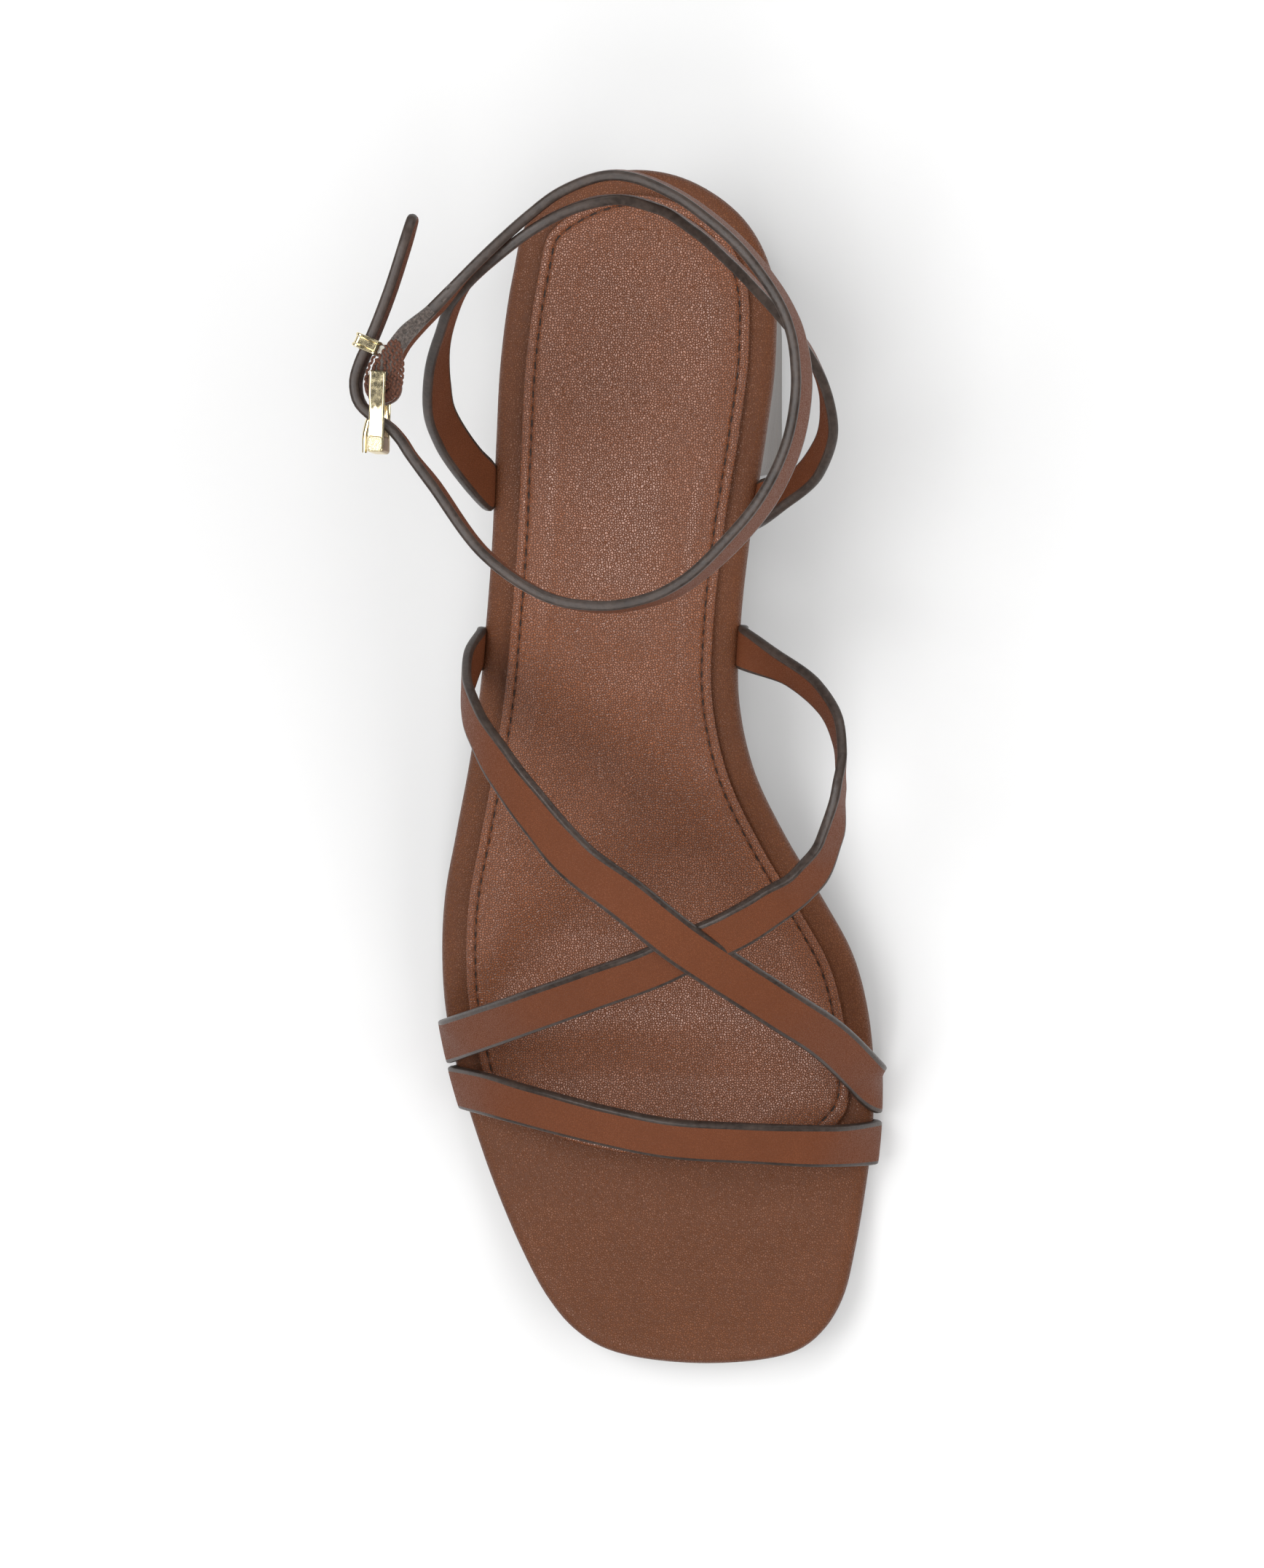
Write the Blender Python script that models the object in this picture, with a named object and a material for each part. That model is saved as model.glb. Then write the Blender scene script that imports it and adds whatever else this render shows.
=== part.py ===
"""Strappy sandal on a block heel, right foot, in metres.

The toe points to -Y, the foot's inner (medial) side to +X, and the floor is z = 0.
The origin is on the floor under the middle of the heel's top piece.
Every height over the sole comes from one side profile, and every plan place from one outline, so the
footbed, outsole, heel and strap ends follow the same last.
"""
import math
from collections import namedtuple

import bmesh
import bpy
from mathutils import Matrix, Vector

# Driving sizes of the last
LENGTH = 0.238
BALL_WIDTH = 0.086
HEEL_RISE = 0.058
TOE_SPRING = 0.0066
INSTEP_HEIGHT = 0.060
ANKLE_HEIGHT = 0.058

# Sole layers
OUTSOLE_THICKNESS = 0.0028
OUTSOLE_INSET = 0.0006
BED_THICKNESS = 0.0050
SOCK_THICKNESS = 0.0014
SOCK_PADDING = 0.0006
SOCK_MARGIN = 0.0052
SOCK_FRONT = 0.772
SOCK_FRONT_SLANT = 0.018
SOCK_NOSE = 0.42
SOCK_NOSE_LEAD = 0.010
SOCK_PAD_START = 0.0030
SOCK_PAD_FULL = 0.0060
GAP = 0.0003

# Heel
HEEL_LENGTH = 0.0595
HEEL_FOOT_LENGTH = 0.0545
HEEL_FOOT_BREADTH = 0.0524
HEEL_ROUND = 0.0275
HEEL_BACK_TAPER = 0.0028
HEEL_SEAT_INSET = 0.0012
HEEL_CORNER = 0.0028
TOP_PIECE_THICKNESS = 0.0055
TOP_PIECE_INSET = 0.0003

# Straps
STRAP_WIDTH = 0.0090
STRAP_THICKNESS = 0.0020
STRAP_EDGE = 0.0004
STRAP_TUCK = 0.0060
STRAP_INLAY = 0.0003
SLIT_ROOM = 0.0002
STRAP_STEP = 0.0048
CLEARANCE = 0.0003

# Buckle
PIN_RADIUS = 0.0009
BUCKLE_FRONT = 0.0122
BUCKLE_BACK = 0.0027
BUCKLE_SIDE_HEIGHT = 0.0018
BUCKLE_SIDE_DEPTH = 0.0030
BUCKLE_WAIST_DEPTH = 0.0026
BUCKLE_PLAY = 0.0005
FRONT_BAR_LENGTH = 0.0031
FRONT_BAR_DEPTH = 0.0031
FRAME_OUT = 0.0006
PRONG_RADIUS = 0.00065
PRONG_RING_WALL = 0.0008
KEEPER_LENGTH = 0.0026
KEEPER_DEPTH = 0.0051
KEEPER_WALL = 0.0006

OUTLINE_POINTS = 88
SECTION_SIDES = 16

# Side profile of the outsole's underside: place along the foot from the heel, and share of HEEL_RISE.
Rise = namedtuple("Rise", "along rise")
HEEL_PROFILE = [Rise(0.00, 1.000), Rise(0.08, 0.985), Rise(0.16, 0.945), Rise(0.24, 0.865),
                Rise(0.32, 0.745), Rise(0.40, 0.595), Rise(0.48, 0.430), Rise(0.56, 0.270),
                Rise(0.63, 0.145), Rise(0.70, 0.045), Rise(0.76, 0.000), Rise(1.00, 0.000)]
# Toe spring: share of TOE_SPRING.
TOE_PROFILE = [Rise(0.00, 0.00), Rise(0.86, 0.00), Rise(0.93, 0.35), Rise(1.00, 1.00)]

# Outline of the footbed: place along the foot, and both edges as shares of BALL_WIDTH.
Edge = namedtuple("Edge", "along lateral medial")
OUTLINE = [
    Edge(0.000, -0.012, -0.012), Edge(0.009, -0.134, 0.110), Edge(0.040, -0.255, 0.230),
    Edge(0.085, -0.291, 0.294), Edge(0.150, -0.319, 0.302), Edge(0.220, -0.333, 0.278),
    Edge(0.300, -0.347, 0.241), Edge(0.370, -0.367, 0.218), Edge(0.430, -0.388, 0.212),
    Edge(0.490, -0.419, 0.244), Edge(0.545, -0.453, 0.313), Edge(0.600, -0.485, 0.401),
    Edge(0.650, -0.496, 0.474), Edge(0.700, -0.491, 0.510), Edge(0.755, -0.463, 0.524),
    Edge(0.810, -0.417, 0.519), Edge(0.860, -0.367, 0.501), Edge(0.905, -0.312, 0.479),
    Edge(0.945, -0.250, 0.451), Edge(0.972, -0.184, 0.405), Edge(0.990, -0.095, 0.336),
    Edge(1.000, 0.128, 0.128)]

# A strap's route. along is a share of LENGTH, across of BALL_WIDTH, and rise of the height named with the
# table, over the footbed. lean is the strap's own turn in degrees: 0 stands on edge, and 90 or -90 lies
# flat with its heel-side edge to the right or left of the way it runs.
Row = namedtuple("Row", "along across rise lean")
# Where a strap goes down the footbed's side: the side, the place along the foot at the rim, and how far
# its foot runs towards the toe on its way down, as a share of the sole's depth there.
Anchor = namedtuple("Anchor", "side along slant")

TOE_STRAP = [
    Anchor("lateral", 0.765, 0.05),
    Row(0.768, -0.379, 0.217, -66), Row(0.775, -0.284, 0.327, -64), Row(0.790, -0.099, 0.412, -62),
    Row(0.800, 0.050, 0.421, -62), Row(0.805, 0.235, 0.370, -62), Row(0.810, 0.414, 0.238, -66),
    Anchor("medial", 0.812, 0.0)]
CROSS_STRAP_OVER = [
    Anchor("medial", 0.768, 0.0),
    Row(0.750, 0.500, 0.190, 84), Row(0.715, 0.413, 0.420, 82), Row(0.688, 0.313, 0.575, 80),
    Row(0.649, 0.160, 0.695, 80), Row(0.628, 0.080, 0.738, 80), Row(0.593, -0.034, 0.770, 76),
    Row(0.560, -0.149, 0.771, 68), Row(0.527, -0.226, 0.741, 58), Row(0.488, -0.309, 0.633, 46),
    Row(0.452, -0.373, 0.477, 26), Row(0.425, -0.401, 0.306, 8), Row(0.405, -0.397, 0.150, -6),
    Anchor("lateral", 0.391, -0.10)]
CROSS_STRAP_UNDER = [
    Anchor("lateral", 0.7255, 0.05),
    Row(0.719, -0.450, 0.173, -70), Row(0.707, -0.371, 0.345, -66), Row(0.693, -0.276, 0.497, -63),
    Row(0.670, -0.113, 0.634, -62), Row(0.652, 0.019, 0.685, -62), Row(0.636, 0.109, 0.692, -64),
    Row(0.619, 0.210, 0.691, -62), Row(0.600, 0.292, 0.693, -55), Row(0.577, 0.374, 0.685, -42),
    Row(0.545, 0.424, 0.668, -25), Row(0.506, 0.445, 0.601, -8), Row(0.480, 0.450, 0.515, 4),
    Row(0.455, 0.441, 0.417, 12), Row(0.429, 0.400, 0.276, 18), Row(0.407, 0.322, 0.140, 23),
    Anchor("medial", 0.389, -0.10)]
HEEL_STRAP = [
    Anchor("lateral", 0.257, -0.10),
    Row(0.240, -0.386, 0.155, -26), Row(0.213, -0.429, 0.308, -20), Row(0.189, -0.440, 0.457, -14),
    Row(0.159, -0.430, 0.604, -6), Row(0.133, -0.401, 0.743, 0), Row(0.110, -0.362, 0.870, 4),
    Row(0.089, -0.292, 0.965, 5), Row(0.066, -0.203, 1.005, 5), Row(0.052, -0.130, 1.005, 5),
    Row(0.043, -0.040, 0.985, 5), Row(0.047, 0.047, 0.925, 5), Row(0.060, 0.121, 0.840, 5),
    Row(0.080, 0.192, 0.745, 5), Row(0.104, 0.262, 0.655, 5), Row(0.134, 0.337, 0.560, 3),
    Row(0.165, 0.396, 0.465, 0), Row(0.203, 0.424, 0.365, -9), Row(0.236, 0.400, 0.260, -18),
    Row(0.260, 0.333, 0.140, -21),
    Anchor("medial", 0.271, 0.0)]
ANKLE_STRAP = [
    Row(0.097, -0.336, 1.030, 5), Row(0.056, -0.214, 1.008, 5), Row(0.037, -0.142, 1.006, 5),
    Row(0.025, -0.051, 1.004, 5), Row(0.026, 0.012, 1.004, 6), Row(0.040, 0.104, 1.006, 7),
    Row(0.061, 0.186, 1.009, 8), Row(0.081, 0.246, 1.015, 8), Row(0.103, 0.295, 1.022, 9),
    Row(0.124, 0.332, 1.030, 10), Row(0.145, 0.356, 1.042, 12), Row(0.176, 0.370, 1.065, 15),
    Row(0.205, 0.366, 1.092, 15), Row(0.236, 0.346, 1.126, 15), Row(0.271, 0.300, 1.170, 15),
    Row(0.301, 0.236, 1.216, 14), Row(0.339, 0.121, 1.282, 9), Row(0.352, 0.040, 1.306, 5),
    Row(0.357, -0.058, 1.318, 3), Row(0.349, -0.174, 1.302, 0), Row(0.316, -0.306, 1.245, -2),
    Row(0.262, -0.416, 1.160, -3)]

# The buckle's pin, and the way its frame points, in degrees out from straight ahead.
BUCKLE_PIN = Row(0.187, -0.523, 1.074, 0)
BUCKLE_HEADING = 2.0
# Places round the buckle, ahead of its pin and out from it, in metres.
Near = namedtuple("Near", "ahead out")
STRAP_THROUGH_BUCKLE = [Near(0.0122, -0.0054), Near(0.0096, -0.0036), Near(0.0072, -0.0012),
                        Near(0.0054, 0.0019), Near(0.0030, 0.0043), Near(-0.0006, 0.0051),
                        Near(-0.0042, 0.0043), Near(-0.0076, 0.0029), Near(-0.0115, 0.0014),
                        Near(-0.0180, -0.0008), Near(-0.0250, -0.0028), Near(-0.0318, -0.0046)]
KEEPER_PLACE = 7
BUCKLE_TAB = [Near(-0.0012, 0.0), Near(-0.0045, -0.0010), Near(-0.0092, -0.0037), Near(-0.0148, -0.0092)]
PRONG = [Near(0.0014, 0.0005), Near(0.0032, 0.0013), Near(0.0052, 0.0021), Near(0.0086, 0.0030),
         Near(0.0122, 0.0031)]

Finish = namedtuple("Finish", "colour roughness metallic")
FINISHES = {
    "sock_leather": Finish((0.235, 0.125, 0.090), 0.50, 0.0),
    "cover_leather": Finish((0.185, 0.082, 0.050), 0.42, 0.0),
    "strap_leather": Finish((0.245, 0.095, 0.048), 0.45, 0.0),
    "outsole_rubber": Finish((0.060, 0.040, 0.032), 0.65, 0.0),
    "stacked_heel": Finish((0.110, 0.088, 0.072), 0.40, 0.0),
    "top_piece_rubber": Finish((0.025, 0.022, 0.020), 0.70, 0.0),
    "gold_metal": Finish((0.830, 0.690, 0.420), 0.18, 1.0),
}

# A station of a strap: its middle, the way its heel-side or upper edge lies, and its thickness.
Station = namedtuple("Station", "middle edge thickness")


def between(rows, column, along):
    """Value of a column at a place along the foot, on a curve that never overshoots its rows."""
    rows = list(rows)
    places = [row.along for row in rows]
    values = [getattr(row, column) for row in rows]
    along = min(max(along, places[0]), places[-1])
    index = max(i for i in range(len(rows) - 1) if places[i] <= along)
    steps = [(values[i + 1] - values[i]) / (places[i + 1] - places[i]) for i in range(len(rows) - 1)]

    def slope(i):
        if i == 0 or i == len(rows) - 1:
            return steps[min(i, len(steps) - 1)]
        before, after = steps[i - 1], steps[i]
        return 0.0 if before * after <= 0.0 else 2.0 * before * after / (before + after)

    width = places[index + 1] - places[index]
    t = (along - places[index]) / width
    return ((2 * t**3 - 3 * t**2 + 1) * values[index] + (t**3 - 2 * t**2 + t) * width * slope(index)
            + (3 * t**2 - 2 * t**3) * values[index + 1] + (t**3 - t**2) * width * slope(index + 1))


def sole_height(along):
    """Height of the outsole's underside over the floor."""
    return (HEEL_RISE * between(HEEL_PROFILE, "rise", along)
            + TOE_SPRING * between(TOE_PROFILE, "rise", along))


def layer_height(along, lift):
    """Height of a layer that lies lift above the outsole's underside, square to it."""
    reach = 0.004
    run = 2 * reach * LENGTH
    climb = sole_height(max(along - reach, 0.0)) - sole_height(min(along + reach, 1.0))
    return sole_height(along) + lift * math.hypot(run, climb) / run


BED_FLOOR = OUTSOLE_THICKNESS + GAP
BED_TOP = BED_FLOOR + BED_THICKNESS
SOCK_FLOOR = BED_TOP + GAP
BACK = HEEL_BACK_TAPER + HEEL_FOOT_LENGTH / 2


def plan(along, across):
    return Vector((BALL_WIDTH * across, BACK - LENGTH * along))


def along_of(point):
    return min(max((BACK - point.y) / LENGTH, 0.0), 1.0)


def curve_point(points, index, t, closed):
    """Point of a smooth curve between two of its points, spaced by their distances."""
    count = len(points)

    def pick(i):
        if closed:
            return points[i % count]
        if i < 0:
            return points[0] * 2 - points[1]
        return points[i] if i < count else points[-1] * 2 - points[-2]

    four = [pick(index + i) for i in (-1, 0, 1, 2)]
    knots = [0.0]
    for first, second in zip(four, four[1:]):
        knots.append(knots[-1] + max((second - first).length, 1e-9) ** 0.5)
    place = knots[1] + t * (knots[2] - knots[1])
    level = four
    for span in (1, 2, 3):
        mixed = []
        for i in range(4 - span):
            low, high = (i, i + span)
            if span == 3:
                low, high = 1, 2
            elif span == 2:
                low, high = i, i + 2
            share = (place - knots[low]) / (knots[high] - knots[low])
            mixed.append(level[i] * (1 - share) + level[i + 1] * share)
        level = mixed
    return level[0]


def fine_side(side):
    """Closely spaced points of the outline's one side, from the heel's back to the toe's tip."""
    rows = OUTLINE
    around = [plan(row.along, row.lateral) for row in rows]
    around += [plan(row.along, row.medial) for row in reversed(rows[1:-1])]
    steps = 12
    last = len(rows) - 1
    spans = range(last) if side == "lateral" else range(len(around) - 1, last - 1, -1)
    fine = []
    for index in spans:
        shares = [i / steps for i in range(steps)]
        if side == "medial":
            shares = [1 - share for share in shares]
        fine += [curve_point(around, index, share, True) for share in shares]
    fine.append(around[last].copy())
    return fine


FINE_SIDES = {side: fine_side(side) for side in ("lateral", "medial")}


def outward_at(fine, index, side):
    """Outward direction of the outline, square to its run."""
    run = fine[min(index + 1, len(fine) - 1)] - fine[max(index - 1, 0)]
    if index in (0, len(fine) - 1):
        return Vector((0.0, 1.0 if index == 0 else -1.0))
    run.normalize()
    return Vector((run.y, -run.x)) if side == "lateral" else Vector((-run.y, run.x))


def side_points(side, inset, count, until=1.0):
    """count + 1 evenly spaced points of one side, moved in from the outline."""
    fine = FINE_SIDES[side]
    moved = [point - outward_at(fine, i, side) * inset for i, point in enumerate(fine)]
    limit = BACK - LENGTH * until
    kept = [point for point in moved if point.y >= limit - 1e-9]
    if until < 1.0:
        after = moved[len(kept)]
        share = (kept[-1].y - limit) / (kept[-1].y - after.y)
        kept.append(kept[-1].lerp(after, share))
    lengths = [0.0]
    for first, second in zip(kept, kept[1:]):
        lengths.append(lengths[-1] + (second - first).length)
    spaced = []
    index = 0
    for step in range(count + 1):
        goal = lengths[-1] * step / count
        while index < len(kept) - 2 and lengths[index + 1] < goal:
            index += 1
        share = (goal - lengths[index]) / (lengths[index + 1] - lengths[index])
        spaced.append(kept[index].lerp(kept[index + 1], share))
    return spaced


def rim_point(side, along):
    """Point of the outline at a place along the foot, with its outward direction."""
    fine = FINE_SIDES[side]
    goal = BACK - LENGTH * along
    index = next(i for i, point in enumerate(fine) if point.y <= goal)
    share = (fine[index - 1].y - goal) / (fine[index - 1].y - fine[index].y)
    return fine[index - 1].lerp(fine[index], share), outward_at(fine, index, side)


def outline_ring(inset):
    """The whole outline, moved in: heel's back, lateral side, toe, medial side."""
    half = OUTLINE_POINTS // 2
    lateral = side_points("lateral", inset, half)
    medial = side_points("medial", inset, half)
    return lateral + medial[-2:0:-1]


def material(name):
    finish = FINISHES[name]
    made = bpy.data.materials.get(name) or bpy.data.materials.new(name)
    made.use_nodes = True
    shader = made.node_tree.nodes["Principled BSDF"]
    shader.inputs["Base Color"].default_value = (*finish.colour, 1.0)
    shader.inputs["Roughness"].default_value = finish.roughness
    shader.inputs["Metallic"].default_value = finish.metallic
    made.diffuse_color = (*finish.colour, 1.0)
    return made


def solid(name, mesh, finish=None):
    """Puts a finished bmesh in the scene as an object. Without a finish it is a hidden cutter."""
    mesh.normal_update()
    bmesh.ops.recalc_face_normals(mesh, faces=mesh.faces)
    data = bpy.data.meshes.new(name)
    mesh.to_mesh(data)
    mesh.free()
    made = bpy.data.objects.new(name, data)
    bpy.context.scene.collection.objects.link(made)
    if finish is None:
        made.hide_render = True
        made.display_type = "WIRE"
        return made
    data.materials.append(material(finish))
    data.shade_smooth()
    data.set_sharp_from_angle(angle=math.radians(35))
    return made


def combine(target, other, operation):
    change = target.modifiers.new(f"{operation.lower()} {other.name}", "BOOLEAN")
    change.operation = operation
    change.solver = "EXACT"
    change.object = other


def loft(mesh, rings):
    """Walls between rings of equally many points, and the two end faces left open."""
    made = [[mesh.verts.new(point) for point in ring] for ring in rings]
    for low, high in zip(made, made[1:]):
        for i in range(len(low)):
            j = (i + 1) % len(low)
            mesh.faces.new((low[i], low[j], high[j], high[i]))
    return made


def fill_pairs(mesh, ring):
    """Closes a ring with bands between its two sides, from its first point to the one across."""
    count = len(ring)
    for i in range(count // 2):
        face = [ring[i], ring[i + 1], ring[(count - i - 1) % count], ring[(count - i) % count]]
        face = [vert for k, vert in enumerate(face) if vert not in face[:k]]
        mesh.faces.new(face)


def layer(name, finish, sections, ring_at):
    """A sole layer. sections holds how far in and how high each ring lies, from the bottom up."""
    mesh = bmesh.new()
    rings = []
    for inset, lift in sections:
        rings.append([(point.x, point.y, layer_height(along_of(point), lift)) for point in ring_at(inset)])
    made = loft(mesh, rings)
    fill_pairs(mesh, made[0])
    fill_pairs(mesh, made[-1])
    return solid(name, mesh, finish)


def outsole():
    thick = OUTSOLE_THICKNESS
    return layer("outsole", "outsole_rubber",
                 [(OUTSOLE_INSET + 0.3 * thick, 0.0), (OUTSOLE_INSET, 0.3 * thick), (OUTSOLE_INSET, thick)],
                 outline_ring)


def footbed():
    """The leather-covered board, with a rounded rim."""
    thick = BED_THICKNESS
    shape = [(0.20, 0.00), (0.04, 0.18), (0.00, 0.48), (0.06, 0.74), (0.26, 0.93), (0.66, 1.00)]
    return layer("footbed", "cover_leather",
                 [(inset * thick, BED_FLOOR + lift * thick) for inset, lift in shape], outline_ring)


def sock_ring(inset):
    """The sock's outline: the footbed's, moved in, closed by a round front under the toe strap."""
    half = OUTLINE_POINTS // 2
    front = 10
    moved = SOCK_MARGIN + inset
    lateral = side_points("lateral", moved, half, SOCK_FRONT - SOCK_FRONT_SLANT)
    medial = side_points("medial", moved, half, SOCK_FRONT)
    ahead = Vector((0.0, -SOCK_NOSE * BALL_WIDTH / 2 + inset))
    lead = [(side[-1] - side[-2]).normalized() * SOCK_NOSE_LEAD for side in (lateral, medial)]
    corners = [lateral[-1], lateral[-1] + lead[0] + ahead * 0.55, medial[-1] + lead[1] + ahead * 0.55,
               medial[-1]]
    nose = []
    for step in range(1, front):
        t = step / front
        weights = ((1 - t)**3, 3 * t * (1 - t)**2, 3 * t**2 * (1 - t), t**3)
        nose.append(sum((corner * weight for corner, weight in zip(corners, weights)), Vector((0.0, 0.0))))
    return lateral + nose + medial[-1:0:-1]


def sock():
    thick = SOCK_THICKNESS
    padding = SOCK_PADDING
    return layer("sock_lining", "sock_leather",
                 [(0.0, SOCK_FLOOR), (0.0, SOCK_FLOOR + 0.7 * thick), (0.3 * thick, SOCK_FLOOR + thick),
                  (SOCK_PAD_START, SOCK_FLOOR + thick), (SOCK_PAD_FULL, SOCK_FLOOR + thick + padding)], sock_ring)


def heel_ring(share):
    """Plan of the heel at a share of the way down: 0 at the seat, 1 at the floor."""
    side_count = 14
    seat = {side: side_points(side, HEEL_SEAT_INSET, side_count, HEEL_LENGTH / LENGTH) for side in FINE_SIDES}

    def down(point, outward):
        """The foot of the heel is round at its back, and then as broad up to its front."""
        depth = (BACK - HEEL_SEAT_INSET - point.y) * HEEL_FOOT_LENGTH / (HEEL_LENGTH - HEEL_SEAT_INSET)
        ahead = 1 - min(max(depth / HEEL_ROUND, 0.0), 1.0)
        goal_x = outward * HEEL_FOOT_BREADTH / 2 * math.sqrt(1 - ahead * ahead)
        return point.lerp(Vector((goal_x, HEEL_FOOT_LENGTH / 2 - depth)), share)

    lateral = [down(point, -1) for point in seat["lateral"]]
    medial = [down(point, 1) for point in seat["medial"]]
    return lateral + medial[:0:-1]


def heel_piece(name, finish, levels, sloped_top):
    """A piece of the heel between levels, each the share of the way down, its height and its inset."""
    mesh = bmesh.new()
    rings = []
    for index, (share, height, inset) in enumerate(levels):
        ring = heel_ring(share)
        centre = sum(ring, Vector((0.0, 0.0))) / len(ring)
        ring = [point - (point - centre).normalized() * inset for point in ring]
        on_seat = sloped_top and index == len(levels) - 1
        rings.append([(p.x, p.y, sole_height(along_of(p)) - GAP if on_seat else height) for p in ring])
    made = loft(mesh, rings)
    fill_pairs(mesh, made[0])
    fill_pairs(mesh, made[-1])
    front = (len(made[0]) - 1) // 2
    corner_verts = {ring[i] for ring in made for i in (front, front + 1)}
    corners = [edge for edge in mesh.edges
               if edge.verts[0] in corner_verts and edge.verts[1] in corner_verts
               and abs(edge.verts[0].co.x - edge.verts[1].co.x) < HEEL_CORNER]
    bmesh.ops.bevel(mesh, geom=corners, offset=HEEL_CORNER, segments=3, affect="EDGES", profile=0.5)
    return solid(name, mesh, finish)


def heel():
    foot = TOP_PIECE_THICKNESS + GAP
    seat = HEEL_RISE * 0.8
    heel_piece("heel_block", "stacked_heel",
               [(1.0, foot, 0.0), (0.72, foot + 0.3 * (seat - foot), 0.0),
                (0.36, foot + 0.65 * (seat - foot), 0.0), (0.0, 0.0, 0.0)], True)
    heel_piece("top_piece", "top_piece_rubber",
               [(1.0, 0.0, 2 * TOP_PIECE_INSET), (1.0, 0.2 * TOP_PIECE_THICKNESS, TOP_PIECE_INSET),
                (1.0, TOP_PIECE_THICKNESS, TOP_PIECE_INSET)], False)


def raise_point(spot, rise_height):
    """World place of a route's row, over the footbed."""
    point = plan(spot.along, spot.across)
    return Vector((point.x, point.y, sole_height(spot.along) + BED_TOP + spot.rise * rise_height))


def anchor_stations(anchor, thickness):
    """Stations that carry a strap up out of the slit under the footbed and over its rim."""
    out = thickness / 2 - STRAP_INLAY
    low = thickness / 2 + SLIT_ROOM
    places = [(-STRAP_TUCK, low), (-STRAP_TUCK / 2, low),
              (out - 0.6 * thickness, low), (out - 0.1 * thickness, low + 0.3 * thickness),
              (out, BED_THICKNESS * 0.60), (out, BED_THICKNESS * 0.95)]
    stations = []
    for outset, lift in places:
        down = (BED_THICKNESS - max(lift, 0.0)) * anchor.slant
        along = anchor.along + down / LENGTH
        rim, outward = rim_point(anchor.side, along)
        spot = rim + outward * outset
        place = along_of(spot)
        middle = Vector((spot.x, spot.y, layer_height(place, BED_FLOOR + lift)))
        rim_run = Vector((-outward.y, outward.x)) if anchor.side == "medial" else Vector((outward.y, -outward.x))
        ahead = place + 0.004
        slope = (layer_height(place - 0.004, 0.0) - layer_height(ahead, 0.0)) / (0.008 * LENGTH)
        edge = Vector((rim_run.x, rim_run.y, slope * rim_run.y)).normalized()
        stations.append(Station(middle, edge, thickness))
    return stations


def leaning(middles, index, lean, thickness):
    """Station whose edge leans from upright towards the right of the way that the strap runs."""
    run = middles[min(index + 1, len(middles) - 1)] - middles[max(index - 1, 0)]
    run.normalize()
    right = run.cross(Vector((0.0, 0.0, 1.0))).normalized()
    angle = math.radians(lean)
    edge = Vector((0.0, 0.0, math.cos(angle))) + right * math.sin(angle)
    edge = (edge - run * edge.dot(run)).normalized()
    return Station(middles[index], edge, thickness)


def route_stations(route, rise_height, thickness=STRAP_THICKNESS):
    """Stations of a strap whose ends are both anchored in the sole."""
    start = anchor_stations(route[0], thickness)
    end = anchor_stations(route[-1], thickness)[::-1]
    free = [raise_point(row, rise_height) for row in route[1:-1]]
    middles = [start[-1].middle] + free + [end[0].middle]
    rows = [leaning(middles, i + 1, row.lean, thickness) for i, row in enumerate(route[1:-1])]
    return facing(start, rows[0]) + rows + facing(end, rows[-1])


def facing(stations, like):
    """Stations whose edges lie the same way round as the next one's."""
    if stations[0].edge.dot(like.edge) > 0:
        return stations
    return [station._replace(edge=-station.edge) for station in stations]


def dense(stations, step):
    """Stations spaced by about one step on smooth curves through the given ones."""
    middles = [station.middle for station in stations]
    edges = [station.edge for station in stations]
    made = []
    for index in range(len(stations) - 1):
        length = (middles[index + 1] - middles[index]).length
        count = max(1, math.ceil(length / step))
        for part in range(count):
            t = part / count
            ease = t * t * (3 - 2 * t)
            thickness = (stations[index].thickness * (1 - ease) + stations[index + 1].thickness * ease)
            made.append(Station(curve_point(middles, index, t, False),
                                edges[index].lerp(edges[index + 1], ease).normalized(), thickness))
    made.append(stations[-1])
    return made


def strap_section(width, thickness, corner):
    """Section of a strap: a rectangle with its four corners taken off."""
    across, through = width / 2, thickness / 2
    return [(-across, through - corner), (-across + corner, through), (across - corner, through),
            (across, through - corner), (across, corner - through), (across - corner, -through),
            (-across + corner, -through), (-across, corner - through)]


def ribbon(stations, width, extra=0.0, edge=STRAP_EDGE, tip=False):
    """Closed strap along stations. extra makes it wider and thicker all round, for a cutter."""
    mesh = bmesh.new()
    rings = []
    last = len(stations) - 1
    for index, station in enumerate(stations):
        run = stations[min(index + 1, last)].middle - stations[max(index - 1, 0)].middle
        run.normalize()
        face = run.cross(station.edge).normalized()
        skew = max((station.edge - run * station.edge.dot(run)).length, 0.5)
        breadth = (width + 2 * extra) / skew
        if tip and index > last - 3:
            breadth *= (0.94, 0.80, 0.52)[index - last + 2]
        ring = []
        for across, through in strap_section(breadth, station.thickness + 2 * extra, edge):
            ring.append(station.middle + station.edge * across + face * through)
        rings.append(ring)
    made = loft(mesh, rings)
    mesh.faces.new(made[0])
    mesh.faces.new(made[-1])
    return mesh


def slit_cutter(name, anchor):
    """Room for a strap's end in the footbed's underside."""
    stations = anchor_stations(anchor, STRAP_THICKNESS)
    deeper = stations[0].middle + (stations[0].middle - stations[1].middle).normalized() * CLEARANCE
    stations[0] = stations[0]._replace(middle=deeper)
    above = stations[-1].middle + (stations[-1].middle - stations[-2].middle) * 2
    stations.append(stations[-1]._replace(middle=above))
    return solid(name, ribbon(stations, STRAP_WIDTH + CLEARANCE, CLEARANCE, edge=0.25 * STRAP_EDGE))


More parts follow.
